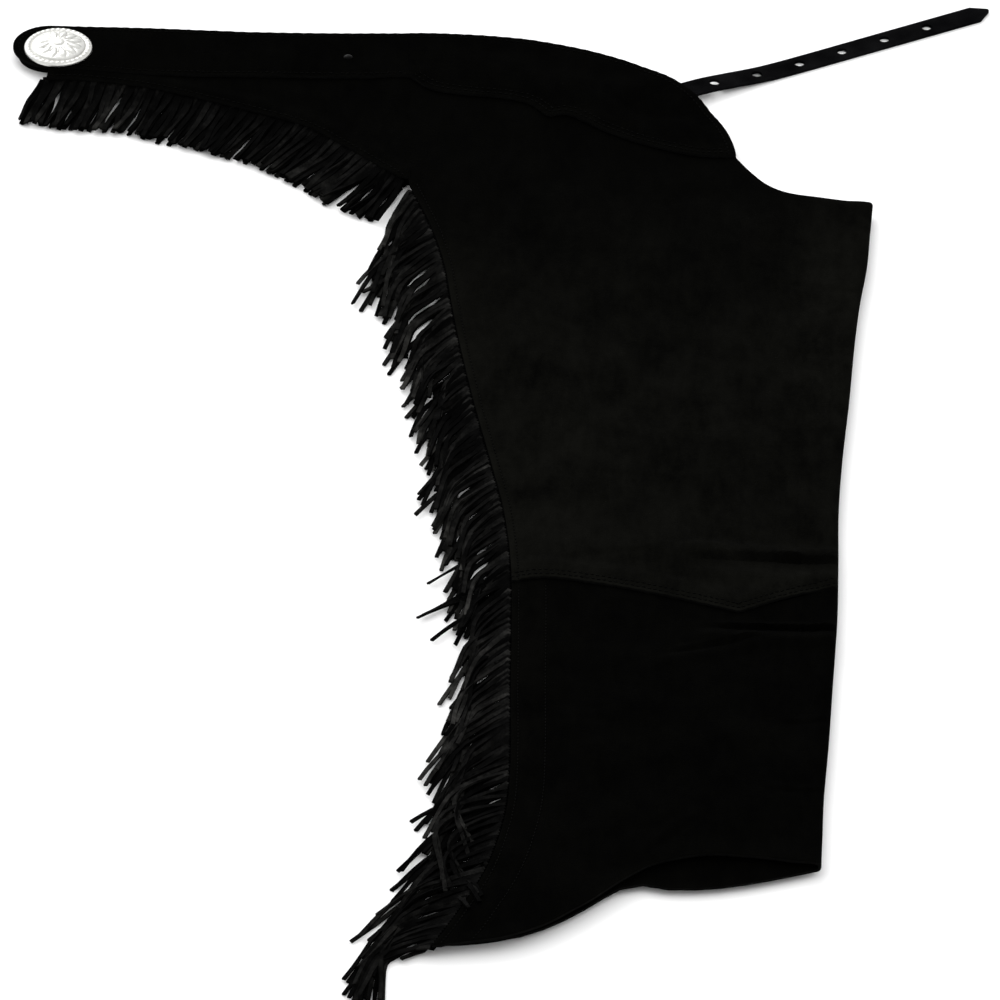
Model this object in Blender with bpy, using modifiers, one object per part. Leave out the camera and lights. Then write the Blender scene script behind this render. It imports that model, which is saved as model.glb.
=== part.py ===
"""Fringed suede chaps, folded in half at the centre back and laid flat on a table.

The wearer's right half lies on top, with its front up. X runs across the leg, from the fringe at the
outer seam (-X) to the fold at the inner leg (+X). Y runs up the leg, from the hem (-Y) to the waist
(+Y), and Z is up from the table. Sizes are in millimetres until a mesh is made, which is in metres.
"""

import math
import random
from collections import namedtuple

import bmesh
import bpy
from mathutils import Matrix, Vector

MM = 0.001

# Leather
HIDE = 1.8  # thickness of the suede
GAP = 0.3  # between pieces that touch
STEP = HIDE + GAP  # from the middle of one layer to the next

# Seams and laps
YOKE_LAP = 14.0  # thigh panel under the front yoke
KNEE_LAP = 12.0  # shin panel under the thigh panel
BACK_INSET = 3.0  # outer edge of the back layer, inside the front layer's
SIDE_SEAM_X = -54.0  # between the back yoke and the front pieces

# Tab, concho and rivet
TAB_RADIUS = 22.0
TAB_CENTRE = (-269.0, 488.5)
CONCHO_PLACE = (-264.0, 484.5)
POST_CLEAR = 2.6  # radius of the hole for the concho's post
RIVET_PLACE = (-91.0, 475.0)

# Strap
STRAP_WIDTH = 15.0
STRAP_THICK = 2.4
STRAP_HOLE = 5.6  # across
STRAP_FIRST_HOLE = 42.3  # from the end that is sewn in
STRAP_HOLE_PITCH = 28.7
STRAP_HOLES = 6

# Fringe
STRIP_WIDTH = 6.0
STRIP_THICK = 2.0
STRIP_GAP = 0.7  # from the panel that it is sewn to
THONG_WIDTH = 3.0
THONG_THICK = 1.2
THONG_STEP = 1.6  # from one level of crossing strands to the next
THONG_LOWEST = 1.2  # middle of a strand on the table
FIRST_RUN = 12.0  # in which a strand sinks to its level
OVER_LEVEL = 5  # of the strands that lie on the shin panel
UNDER_STRIP = 2.0  # middle of the backing strips of the half beneath

# Waist edge of the band and the front yoke, from the centre back to the crotch edge
WaistPoint = namedtuple("WaistPoint", "x y")
WAIST = [
    WaistPoint(-268.5, 510.5),
    WaistPoint(-201, 507),
    WaistPoint(-148, 503.5),
    WaistPoint(-100, 502),
    WaistPoint(-54, 502),
    WaistPoint(-12, 502.5),
    WaistPoint(12, 499.5),
    WaistPoint(35, 493),
    WaistPoint(59, 483.5),
    WaistPoint(83, 469.5),
    WaistPoint(102, 452),
    WaistPoint(115, 435.5),
    WaistPoint(125, 417),
    WaistPoint(133, 398),
    WaistPoint(138, 380),
    WaistPoint(140, 367),
]

# Lower edge of the waist band
BAND_LOW = [(-269, 466.5), (-240, 461.5), (-208, 457.5), (-148, 455), (-100, 454), (-54, 454)]

# Lower edge of the front yoke, with the point over the thigh
YOKE_LOW = [
    (-54, 454), (-41, 441), (-20, 435), (4, 431), (18, 424), (28, 410), (38, 412),
    (50, 405), (62, 395), (84, 381), (112, 369), (128, 366.5), (140, 367),
]

# Line where the fringe of the back yoke is slit
YOKE_SLIT = [
    (-273, 453), (-247, 452), (-210, 444), (-178, 431), (-143, 415),
    (-116, 401), (-88, 374), (-72, 356), (-60, 342),
]

# Crotch edge of the thigh panel, from under the yoke to the top of the inner fold
CROTCH = [(134, 379), (141, 366), (149, 351), (159, 336), (172, 326.5), (192, 321), (221, 314)]

# Width of the leg at each height: outer seam and inner fold
LegRow = namedtuple("LegRow", "y seam fold")
LEG = [
    LegRow(335, -53.7, 222),
    LegRow(315, -48, 221),
    LegRow(281, -39, 219),
    LegRow(246, -33, 217),
    LegRow(205, -29, 212.5),
    LegRow(160, -24, 209),
    LegRow(100, -16, 205.5),
    LegRow(35, -6, 201),
    LegRow(-20, 2, 198.5),
    LegRow(-75, 6, 198),
    LegRow(-135, 6.5, 197),
    LegRow(-203, 6, 194),
    LegRow(-270, 6, 191),
    LegRow(-324, 4.5, 188),
    LegRow(-360, 0, 187),
    LegRow(-401, -9, 186),
    LegRow(-440, -23, 186),
    LegRow(-481, -40, 186),
]

# Knee seam: edge of the thigh panel over the shin panel
KNEE = [(6, -97), (24, -94), (58, -103), (96, -116), (139, -130), (165, -118), (190, -107), (198, -104)]

# Hem of the front layer, the back layer behind it and the half beneath
HemRow = namedtuple("HemRow", "x front back under")
HEM = [
    HemRow(-40, -481, -473, -468),
    HemRow(-20, -478, -471, -467),
    HemRow(2, -474, -467, -462),
    HemRow(24, -462, -455, -451),
    HemRow(47, -441, -435, -430),
    HemRow(62, -424, -419, -414),
    HemRow(76, -409, -411, -404),
    HemRow(88, -398.5, -415, -407),
    HemRow(104, -391, -416.5, -409),
    HemRow(123, -388, -415, -408),
    HemRow(142, -389, -411, -404),
    HemRow(162, -392, -405, -398),
    HemRow(186, -397, -397, -390),
]

# Folds in the leather: a ridge along a line, its height and half width, and the fade at its ends
Fold = namedtuple("Fold", "x0 y0 x1 y1 height width")
LEG_FOLDS = [
    Fold(112, -50, 198, -58, 3.2, 9),
    Fold(118, -76, 198, -88, 3.6, 9),
    Fold(120, -152, 197, -156, 3.4, 9),
    Fold(104, -174, 168, -164, 1.8, 8),
    Fold(30, -60, 120, -66, 1.6, 14),
    Fold(20, -160, 96, -190, 1.6, 16),
    Fold(74, 300, 120, 306, 1.6, 12),
    Fold(-10, 250, 60, 60, 1.2, 26),
    Fold(150, 280, 130, 60, 1.4, 30),
    Fold(60, -230, 40, -360, 1.6, 22),
    Fold(140, -210, 134, -350, 1.8, 22),
    Fold(84, -384, 104, -330, 1.6, 14),
]
HIP_FOLDS = [
    Fold(-62, 450, -60, 350, 1.3, 11),
    Fold(30, 412, 56, 426, 1.2, 12),
    Fold(-230, 480, -120, 474, 0.7, 16),
    Fold(-20, 470, 60, 440, 0.9, 16),
    Fold(-150, 440, -90, 430, 0.7, 14),
]
FULLNESS = 2.2  # how far the front of the leg stands off the back, halfway across

# Distance from the strap's sewn end, and the height of its middle there
STRAP_DROOP = [(0, 5.5), (34, 5.5), (52, 4.0), (74, 2.0), (96, 1.35), (150, 1.3), (240, 1.3)]
STRAP_START = (90.0, 432.0)
STRAP_TIP = (291.5, 538.0)

# Lean of the strands from straight down towards -X, how much they turn by the tip, and their length
FringeRow = namedtuple("FringeRow", "place lean turn length")
LEG_FRINGE = [  # place is the height on the outer seam
    FringeRow(331, 30, -22, 62),
    FringeRow(280, 48, -34, 76),
    FringeRow(200, 50, -36, 68),
    FringeRow(100, 52, -38, 60),
    FringeRow(0, 54, -38, 68),
    FringeRow(-70, 58, -32, 64),
    FringeRow(-130, 50, -36, 50),
    FringeRow(-200, 52, -38, 60),
    FringeRow(-290, 56, -36, 80),
    FringeRow(-350, 56, -38, 86),
    FringeRow(-395, 68, -36, 92),
    FringeRow(-430, 74, -64, 96),
    FringeRow(-455, 70, -66, 98),
    FringeRow(-478, 60, -60, 98),
]
FLARE_FRINGE = [  # every other strand here falls over the front of the shin panel
    FringeRow(-292, -12, 10, 78),
    FringeRow(-330, 2, 4, 76),
    FringeRow(-396, 24, 0, 60),
]
YOKE_FRINGE = [  # place is the distance along X
    FringeRow(-273, 15, 2, 43),
    FringeRow(-200, 18, 2, 46),
    FringeRow(-150, 26, 2, 49),
    FringeRow(-100, 35, 2, 54),
    FringeRow(-60, 42, 0, 55),
]


def layer(number):
    """Height of the middle of a leather layer, counted from 0 on the table."""
    return HIDE / 2 + number * STEP


def smooth(value):
    """0 below 0, 1 above 1, and an even slope between."""
    value = min(max(value, 0.0), 1.0)
    return value * value * (3 - 2 * value)


def between(rows, key, value, column):
    """Cubic reading of a table column at a value of its key column."""
    rows = sorted(rows, key=lambda row: row[key])
    keys = [row[key] for row in rows]
    value = min(max(value, keys[0]), keys[-1])
    i = max(n for n in range(len(keys) - 1) if keys[n] <= value)
    before, after = max(i - 1, 0), min(i + 2, len(rows) - 1)
    span = keys[i + 1] - keys[i]
    t = (value - keys[i]) / span
    low, high = rows[i][column], rows[i + 1][column]
    slope_low = (high - rows[before][column]) / (keys[i + 1] - keys[before]) * span
    slope_high = (rows[after][column] - low) / (keys[after] - keys[i]) * span
    return (
        low * (1 + 2 * t) * (1 - t) ** 2
        + slope_low * t * (1 - t) ** 2
        + high * t * t * (3 - 2 * t)
        - slope_high * t * t * (1 - t)
    )


def spaced(points, count):
    """Points at even distances along a smooth curve through the given ones."""
    fine = []
    for i in range(len(points) - 1):
        a = Vector(points[max(i - 1, 0)])
        b, c = Vector(points[i]), Vector(points[i + 1])
        d = Vector(points[min(i + 2, len(points) - 1)])
        for n in range(8):
            t = n / 8
            fine.append(
                0.5 * (2 * b + (c - a) * t + (2 * a - 5 * b + 4 * c - d) * t * t
                       + (3 * b - a - 3 * c + d) * t ** 3)
            )
    fine.append(Vector(points[-1]))
    run = [0.0]
    for one, other in zip(fine, fine[1:]):
        run.append(run[-1] + (other - one).length)
    out = []
    at = 0
    for n in range(count):
        goal = run[-1] * n / (count - 1)
        while at < len(run) - 2 and run[at + 1] < goal:
            at += 1
        share = (goal - run[at]) / max(run[at + 1] - run[at], 1e-9)
        out.append(fine[at].lerp(fine[at + 1], min(max(share, 0), 1)))
    return out


def waist_y(x):
    return between(WAIST[:9], 0, x, 1)


def yoke_low_y(x):
    return between(YOKE_LOW, 0, x, 1)


def seam_x(y):
    return between(LEG, 0, y, 1)


def fold_x(y):
    return between(LEG, 0, y, 2)


def knee_y(x):
    return between(KNEE, 0, x, 1)


def shifted(points, distance):
    """Points moved to the left of their direction of travel."""
    out = []
    for n, point in enumerate(points):
        run = points[min(n + 1, len(points) - 1)] - points[max(n - 1, 0)]
        out.append(point + Vector((-run.y, run.x)).normalized() * distance)
    return out


def ridges(folds, x, y):
    """Total height of the folds at a point."""
    total = 0.0
    for fold in folds:
        run = Vector((fold.x1 - fold.x0, fold.y1 - fold.y0))
        away = Vector((x - fold.x0, y - fold.y0))
        along = away.dot(run) / run.length_squared
        nearest = min(max(along, 0.0), 1.0)
        aside = (away - run * nearest).length
        total += fold.height * math.exp(-((aside / fold.width) ** 2))
    return total


def hip_height(x, y, number):
    """Middle of a hip piece on the given layer."""
    return layer(number) + ridges(HIP_FOLDS, x, y)


def front_height(x, y):
    """Middle of the front layer of the leg, without the lap at the knee."""
    seam, fold = seam_x(y), fold_x(y)
    across = min(max((x - seam) / (fold - seam), 0.0), 1.0)
    over_back = smooth((338 - y) / 24)
    loose = smooth((330 - y) / 70) * smooth((x - seam) / 30)
    wave = 1 + 0.25 * math.sin(y / 47 + 1) + 0.2 * math.sin(x / 31 + y / 90)
    height = layer(2) + STEP * over_back
    height += loose * FULLNESS * math.sin(math.pi * across) * wave
    height += 1.2 * over_back * smooth((x - fold + 18) / 14)
    height += loose * ridges(LEG_FOLDS, x, y)
    return height + (1 - smooth((345 - y) / 20)) * ridges(HIP_FOLDS, x, y)


def knee_rise(x, y):
    """How far the lap at the knee lifts the thigh panel."""
    above = smooth((knee_y(x) + KNEE_LAP + 16 - y) / 14)
    return STEP * above * (1 - smooth((x - fold_x(y) + 22) / 16))


def knee_lap(x):
    """How far the shin panel reaches under the thigh panel: a lap, and a plain joint at the fold."""
    bare = smooth((x - fold_x(-100) + 48) / 10)
    return KNEE_LAP * (1 - bare) - GAP * bare


def material(name, colour, roughness, metallic=0.0):
    made = bpy.data.materials.new(name)
    made.use_nodes = True
    shader = made.node_tree.nodes["Principled BSDF"]
    shader.inputs["Base Color"].default_value = (*colour, 1.0)
    shader.inputs["Roughness"].default_value = roughness
    shader.inputs["Metallic"].default_value = metallic
    made.diffuse_color = (*colour, 1.0)
    return made


def piece(name, mesh_data, finish, parent, collection):
    """An object for a bmesh, in metres."""
    mesh = bpy.data.meshes.new(name)
    bmesh.ops.transform(mesh_data, matrix=Matrix.Scale(MM, 4), verts=mesh_data.verts)
    mesh_data.to_mesh(mesh)
    mesh_data.free()
    made = bpy.data.objects.new(name, mesh)
    collection.objects.link(made)
    mesh.materials.append(finish)
    made.parent = parent
    return made


def thicken(made, thickness):
    solid = made.modifiers.new("Thickness", "SOLIDIFY")
    solid.thickness = thickness * MM
    solid.offset = 0
    solid.use_even_offset = True
    solid.use_quality_normals = True


def cut_out(made, cutter):
    cut = made.modifiers.new("Holes", "BOOLEAN")
    cut.operation = "DIFFERENCE"
    cut.object = cutter


def cutter_pins(name, places, radius, low, high, parent, collection):
    """Upright cylinders that cut round holes."""
    pins = bmesh.new()
    for x, y in places:
        bmesh.ops.create_cone(
            pins, cap_ends=True, segments=12, radius1=radius, radius2=radius, depth=high - low,
            matrix=Matrix.Translation((x, y, (low + high) / 2)),
        )
    made = piece(name, pins, bpy.data.materials["Cutter"], parent, collection)
    made.hide_render = True
    made.display_type = "WIRE"
    return made


def laid_sheet(outline, spacing, height):
    """A sheet cut to an outline, diced so that it can bend, and laid at height(x, y)."""
    sheet = bmesh.new()
    sheet.faces.new([sheet.verts.new((x, y, 0)) for x, y in outline])
    for axis in (0, 1):
        low = min(point[axis] for point in outline)
        high = max(point[axis] for point in outline)
        count = math.ceil((high - low) / spacing)
        for n in range(1, count):
            place, facing = Vector(), Vector()
            place[axis] = low + (high - low) * n / count
            facing[axis] = 1
            everything = sheet.verts[:] + sheet.edges[:] + sheet.faces[:]
            bmesh.ops.bisect_plane(
                sheet, geom=everything, dist=spacing * 0.12, plane_co=place, plane_no=facing
            )
    bmesh.ops.triangulate(sheet, faces=sheet.faces[:])
    for vert in sheet.verts:
        vert.co.z = height(vert.co.x, vert.co.y)
    bmesh.ops.recalc_face_normals(sheet, faces=sheet.faces[:])
    return sheet


def patch(top, bottom, left, right, u, v):
    """Point of the surface between four edges, each a list of points from its start to its end."""
    def at(edge, share):
        place = share * (len(edge) - 1)
        n = min(int(place), len(edge) - 2)
        return edge[n].lerp(edge[n + 1], place - n)
    across = at(top, u).lerp(at(bottom, u), v) + at(left, v).lerp(at(right, v), u)
    corners = top[0].lerp(top[-1], u).lerp(bottom[0].lerp(bottom[-1], u), v)
    return across - corners


def leg_edge(column, start, end, inset=0.0):
    """Outer seam (column 1) or inner fold (column 2), from one height to another."""
    rows = 30
    heights = [start + (end - start) * n / rows for n in range(rows + 1)]
    return [Vector((between(LEG, 0, y, column) + inset, y)) for y in heights]


def wrapped_leg(front_edges, back_edges, columns, rows, height):
    """A leg piece: front layer, turn at the inner fold, back layer."""
    turns = 4
    back_columns = 4
    total = columns + turns + back_columns
    sheet = bmesh.new()
    bmesh.ops.create_grid(sheet, x_segments=total, y_segments=len(rows) - 1, size=0.5)
    for vert in sheet.verts:
        column = round((vert.co.x + 0.5) * total)
        v = rows[round((0.5 - vert.co.y) * (len(rows) - 1))]
        edge = patch(*front_edges, 1.0, v)
        radius = (height(edge.x, edge.y) - layer(2)) / 2
        room = radius + HIDE / 2
        if column <= columns:
            u = column / columns
            flat = patch(*front_edges, u, v)
            flat.x -= room * u ** 6
            vert.co = (flat.x, flat.y, height(flat.x, flat.y))
        elif column < columns + turns:
            angle = math.pi * (column - columns) / turns
            back = patch(*back_edges, 1.0, v)
            middle = edge.lerp(back, (column - columns) / turns)
            vert.co = (
                edge.x - room + radius * math.sin(angle),
                middle.y,
                layer(2) + radius + radius * math.cos(angle),
            )
        else:
            u = 1 - (column - columns - turns) / back_columns
            flat = patch(*back_edges, u, v)
            flat.x -= room * u ** 6
            vert.co = (flat.x, flat.y, layer(2))
    bmesh.ops.recalc_face_normals(sheet, faces=sheet.faces[:])
    return sheet


def stations(length, first, second, change):
    """Shares of a length, in steps of first up to the change and of second after it."""
    near = max(round(change / first), 1)
    far = max(round((length - change) / second), 1)
    marks = [change * n / near for n in range(near)]
    marks += [change + (length - change) * n / far for n in range(far + 1)]
    return [mark / length for mark in marks]


def thigh_sheet():
    under_yoke = [
        (x, yoke_low_y(x) + YOKE_LAP) for x in (SIDE_SEAM_X + GAP, -30, -5, 18, 38, 60, 85, 112)
    ]
    top = spaced(under_yoke + CROTCH, 40)
    seam = [Vector((SIDE_SEAM_X + GAP, y)) for y in (468, 445, 420, 395, 370, 350)]
    left = spaced(seam + leg_edge(1, 335, KNEE[0][1])[::3], 40)
    right = leg_edge(2, CROTCH[-1][1], KNEE[-1][1])
    front = (top, spaced(KNEE, 40), left, right)
    back_top = [Vector((seam_x(312) + BACK_INSET, 311)), Vector(CROTCH[-1])]
    back_left = leg_edge(1, 311, -96, BACK_INSET)
    back_bottom = [back_left[-1], Vector(KNEE[-1])]
    rows = stations(430, 24, 7.5, 338)
    return wrapped_leg(
        front, (back_top, back_bottom, back_left, right), 12, rows,
        lambda x, y: front_height(x, y) + knee_rise(x, y),
    )


def shin_sheet():
    joint = [Vector((x, y + knee_lap(x))) for x, y in spaced(KNEE, 24)]
    joint[-1].y = KNEE[-1][1] - GAP
    front_hem = spaced([(row.x, row.front) for row in HEM], 60)
    back_hem = spaced([(row.x, row.back) for row in HEM], 60)
    right = leg_edge(2, joint[-1].y, HEM[-1].front)
    left = leg_edge(1, joint[0].y, HEM[0].front)
    back_left = leg_edge(1, -96 - GAP, HEM[0].back, BACK_INSET)
    back_top = [back_left[0], joint[-1]]
    rows = stations(320, 7.5, 26, 88)
    return wrapped_leg(
        (joint, front_hem, left, right), (back_top, back_hem, back_left, right), 12, rows, front_height
    )


def tab_arc(inset, raised=0.0):
    """Round end of the tab, from its lower corner round to its upper one."""
    radius = TAB_RADIUS - inset
    steps = 12
    arc = []
    for n in range(steps + 1):
        angle = math.pi * (1.5 - n / steps)
        x = TAB_CENTRE[0] + radius * math.cos(angle)
        y = TAB_CENTRE[1] + raised + radius * math.sin(angle)
        arc.append((x, y))
    return arc


def waist_run(start, end, count, inset=0.0):
    return [
        (start + (end - start) * n / count, waist_y(start + (end - start) * n / count) - inset)
        for n in range(count + 1)
    ]


def band_outline():
    end = SIDE_SEAM_X - GAP
    low = [(x, between(BAND_LOW, 0, x, 1)) for x in (end, -80, -110, -148, -185, -220, -250)]
    return low + tab_arc(0) + waist_run(-250, end, 9)


def back_yoke_outline():
    end = SIDE_SEAM_X - GAP
    slit = spaced(YOKE_SLIT, 22)
    low = [(point.x, point.y) for point in shifted(slit, STRIP_WIDTH + STRIP_GAP)]
    low[0] = (YOKE_SLIT[0][0] + 4, low[0][1])
    low[-1] = (end, low[-1][1])
    return low[::-1] + tab_arc(1.4, 0.7) + waist_run(-250, end, 9, 0.6)


def front_yoke_outline():
    low = [(point.x, point.y) for point in spaced(YOKE_LOW, 22)]
    edge = [(point.x, point.y) for point in spaced([tuple(row) for row in WAIST[4:]], 24)]
    return low + edge[:0:-1] + [(SIDE_SEAM_X, WAIST[4].y)]


def strap_run():
    start, tip = Vector(STRAP_START), Vector(STRAP_TIP)
    return start, (tip - start).normalized(), (tip - start).length


def strap_place(x, y):
    """Distance along the strap and across it."""
    start, run, _ = strap_run()
    away = Vector((x, y)) - start
    return away.dot(run), away.cross(run)


def yoke_height(x, y):
    """Front yoke: on the thigh panel at its lap, on the half beneath above that, over the strap."""
    over_thigh = 1 - smooth((y - yoke_low_y(x) - YOKE_LAP - 6) / 18)
    by_band = 1 - smooth((x - SIDE_SEAM_X - 2) / 22)
    along, aside = strap_place(x, y)
    over_strap = (1 - smooth((abs(aside) - STRAP_WIDTH / 2 - 2) / 13)) * smooth((along + 16) / 13)
    lift = max(over_thigh, by_band, over_strap * (STRAP_THICK + GAP + 0.3) / STEP)
    return hip_height(x, y, 2) + (STEP + GAP) * lift


def strap_sheet():
    start, run, length = strap_run()
    side = Vector((-run.y, run.x)) * STRAP_WIDTH / 2
    shoulder = start + run * (length - 9)
    outline = []
    steps = 12
    for n in range(steps + 1):
        outline.append(start + (shoulder - start) * n / steps - side)
    outline.append(start + run * (length - 3.5) - side * 0.45)
    outline.append(start + run * length - side * 0.12)
    outline.append(start + run * length + side * 0.12)
    outline.append(start + run * (length - 3.5) + side * 0.45)
    for n in range(steps, -1, -1):
        outline.append(start + (shoulder - start) * n / steps + side)
    return laid_sheet(
        [(p.x, p.y) for p in outline], 400,
        lambda x, y: between(STRAP_DROOP, 0, strap_place(x, y)[0], 1),
    )


def under_outline():
    """Outline of the hidden half, just inside the half on top of it."""
    inset = 1.2
    waist = [Vector(row) for row in spaced([tuple(row) for row in WAIST[1:]], 16)]
    waist = shifted(waist, -inset)
    crotch = shifted(spaced(CROTCH[1:], 7), -inset)[1:-1]
    fold = [Vector((fold_x(y) - inset - 0.6, y)) for y in range(300, -380, -68)]
    hem = spaced([(row.x, row.under) for row in HEM[::-1]], 17)
    hem = [point - Vector((inset * (n < 3), 0)) for n, point in enumerate(hem)]
    seam = [Vector((seam_x(y) + BACK_INSET + 0.3, y)) for y in range(-445, 335, 35)]
    slit = shifted(spaced(YOKE_SLIT[::-1], 11), -(STRIP_WIDTH + GAP + 1))
    tab = [Vector(point) for point in tab_arc(3.2, 1.6)]
    return waist + crotch + fold + hem[1:-1] + seam + slit[:-1] + tab


def inset_loop(outline, distance):
    """A closed outline, drawn clockwise, moved inwards."""
    moved = []
    for n, point in enumerate(outline):
        before = (point - outline[n - 1]).normalized()
        after = (outline[(n + 1) % len(outline)] - point).normalized()
        inward = Vector((before.y + after.y, -before.x - after.x)).normalized()
        corner = max(inward.dot(Vector((before.y, -before.x))), 0.5)
        moved.append(point + inward * distance / corner)
    return moved


def pull(mesh, face, corners):
    """Extrudes a face to the given corners, which are in the face's own order."""
    end = bmesh.ops.extrude_discrete_faces(mesh, faces=[face])["faces"][0]
    for loop, corner in zip(end.loops, corners):
        loop.vert.co = corner
    return end


def under_solid():
    """Two flat layers with round edges and the groove between them, in one solid."""
    outline = under_outline()
    top = 2 * HIDE + GAP
    profile = [  # inset from the outline, height
        (0.7, 0.0), (0.0, 0.6), (0.1, 1.3), (1.0, top / 2), (0.3, 2.6), (0.4, 3.3), (1.1, top),
    ]
    solid = bmesh.new()
    rings = [
        [Vector((point.x, point.y, height)) for point in inset_loop(outline, inset)]
        for inset, height in profile
    ]
    foot = [solid.verts.new(corner) for corner in rings[0]]
    face = solid.faces.new(foot)
    for ring in rings[1:]:
        face = pull(solid, face, ring)
    solid.faces.new(foot)
    bmesh.ops.triangulate(solid, faces=solid.faces[:], ngon_method="EAR_CLIP")
    bmesh.ops.recalc_face_normals(solid, faces=solid.faces[:])
    return solid


def strip_corners(inner, outer, height, share):
    """Section of a backing strip: inner low, inner high, outer high, outer low."""
    place = share * (len(inner) - 1)
    n = min(int(place), len(inner) - 2)
    near, far = (line[n].lerp(line[n + 1], place - n) for line in (inner, outer))
    low = height(near.x, near.y) - STRIP_THICK / 2
    high = low + STRIP_THICK
    return [
        Vector((near.x, near.y, low)), Vector((near.x, near.y, high)),
        Vector((far.x, far.y, high)), Vector((far.x, far.y, low)),
    ]


def draw_strand(mesh, face, signs, row, level, sway, reach, segments):
    """Extrudes one strand from the strip's outer side, sunk or raised to its level in the first run."""
    order = [signs[loop.vert] for loop in face.loops]
    place = face.calc_center_median().xy
    middle = THONG_LOWEST + THONG_STEP * level
    first = FIRST_RUN / 2 if level > 4 else FIRST_RUN
    for step in range(segments):
        run = first if step == 0 else (reach - first) / (segments - 1)
        lean = math.radians(row.lean + (row.turn + sway) * step / (segments - 1))
        place = place + Vector((-math.sin(lean), -math.cos(lean))) * run
        side = Vector((math.cos(lean), -math.sin(lean))) * THONG_WIDTH / 2
        face = pull(mesh, face, [
            Vector((*(place + side * across), middle + up * THONG_THICK / 2)) for across, up in order
        ])


def comb(inner, strip_height, table, column, count, segments, levels, seed, over=()):
    """A backing strip along a line, and strands that part from its outer side."""
    chance = random.Random(seed)
    outer = shifted(inner, -STRIP_WIDTH)
    length = sum((b - a).length for a, b in zip(inner, inner[1:]))
    half = THONG_WIDTH / 2 / length
    marks = []
    for n in range(count):
        centre = (n + 0.5) / count
        marks += [centre - half, centre + half]
    marks.append(1.0)

    mesh = bmesh.new()
    first = [mesh.verts.new(corner) for corner in strip_corners(inner, outer, strip_height, 0.0)]
    end = mesh.faces.new(first)
    roots = []
    for n, mark in enumerate(marks):
        before = [loop.vert for loop in end.loops]
        end = pull(mesh, end, strip_corners(inner, outer, strip_height, mark))
        if n % 2 == 1:
            after = [loop.vert for loop in end.loops]
            signs = {before[2]: (-1, 1), before[3]: (-1, -1), after[2]: (1, 1), after[3]: (1, -1)}
            side = next(face for face in after[2].link_faces if set(face.verts) == set(signs))
            roots.append((side, signs))
    mesh.faces.new(first)
    for n, (face, signs) in enumerate(roots):
        place = getattr(face.calc_center_median(), column)
        level = levels[n % len(levels)]
        rows = table
        if over and n % 2 and over[-1].place < place < over[0].place:
            rows = over
            level = OVER_LEVEL + (n // 2) % 3
        row = FringeRow(place, *(between(rows, 0, place, k) for k in (1, 2, 3)))
        reach = row.length * chance.uniform(0.86, 1.1)
        draw_strand(mesh, face, signs, row, level, 4 * math.sin(n * 0.55 + level), reach, segments)
    bmesh.ops.recalc_face_normals(mesh, faces=mesh.faces[:])
    return mesh


def leg_root(inset, start, end):
    """Inner edge of the leg's backing strip."""
    heights = [start + (end - start) * n / 160 for n in range(161)]
    return shifted([Vector((seam_x(y) + inset, y)) for y in heights], -STRIP_GAP)


def leg_strip_height(x, y):
    return layer(2) + STEP * smooth((338 - y) / 24) - 0.3


def concho_profile():
    """Half section of the ornament and its post, from the crown out to the rim and in along the back."""
    highest = max(ridges(HIP_FOLDS, CONCHO_PLACE[0] + x, CONCHO_PLACE[1]) for x in (0, 20))
    base = layer(3) + HIDE / 2 + GAP + highest
    return [
        (0.0, base + 5.6), (2.6, base + 5.4), (3.4, base + 4.7), (8.0, base + 4.5), (12.5, base + 3.7),
        (15.6, base + 2.6), (16.4, base + 1.9), (17.3, base + 2.4), (18.4, base + 2.5), (19.6, base + 1.9),
        (20.4, base + 0.8), (20.4, base), (2.1, base), (2.1, GAP), (0.0, GAP),
    ]


def turned(name, profile, place, steps, finish, parent, collection):
    """A profile turned about the Z axis."""
    mesh = bmesh.new()
    points = [mesh.verts.new((x, 0, z)) for x, z in profile]
    for one, other in zip(points, points[1:]):
        mesh.edges.new((one, other))
    made = piece(name, mesh, finish, parent, collection)
    made.location = (place[0] * MM, place[1] * MM, 0)
    screw = made.modifiers.new("Turn", "SCREW")
    screw.steps = screw.render_steps = steps
    screw.use_merge_vertices = True
    screw.merge_threshold = 0.00001
    return made


def rivet_profile():
    base = layer(3) + HIDE / 2 + GAP + ridges(HIP_FOLDS, *RIVET_PLACE)
    return [
        (0.0, base + 1.5), (1.3, base + 1.3), (2.2, base + 0.8),
        (2.7, base + 0.2), (2.7, base), (0.0, base),
    ]


def hole_places():
    start, run, _ = strap_run()
    return [start + run * (STRAP_FIRST_HOLE + STRAP_HOLE_PITCH * n) for n in range(STRAP_HOLES)]


def centre_on_table(root, pieces):
    """Moves the whole garment so that the middle of its box is over the origin."""
    bpy.context.view_layer.update()
    graph = bpy.context.evaluated_depsgraph_get()
    corners = []
    for made in pieces:
        ready = made.evaluated_get(graph)
        corners += [ready.matrix_world @ Vector(corner) for corner in ready.bound_box]
    for axis in (0, 1):
        low = min(corner[axis] for corner in corners)
        high = max(corner[axis] for corner in corners)
        root.location[axis] = -(low + high) / 2
    bpy.context.view_layer.update()


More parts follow.
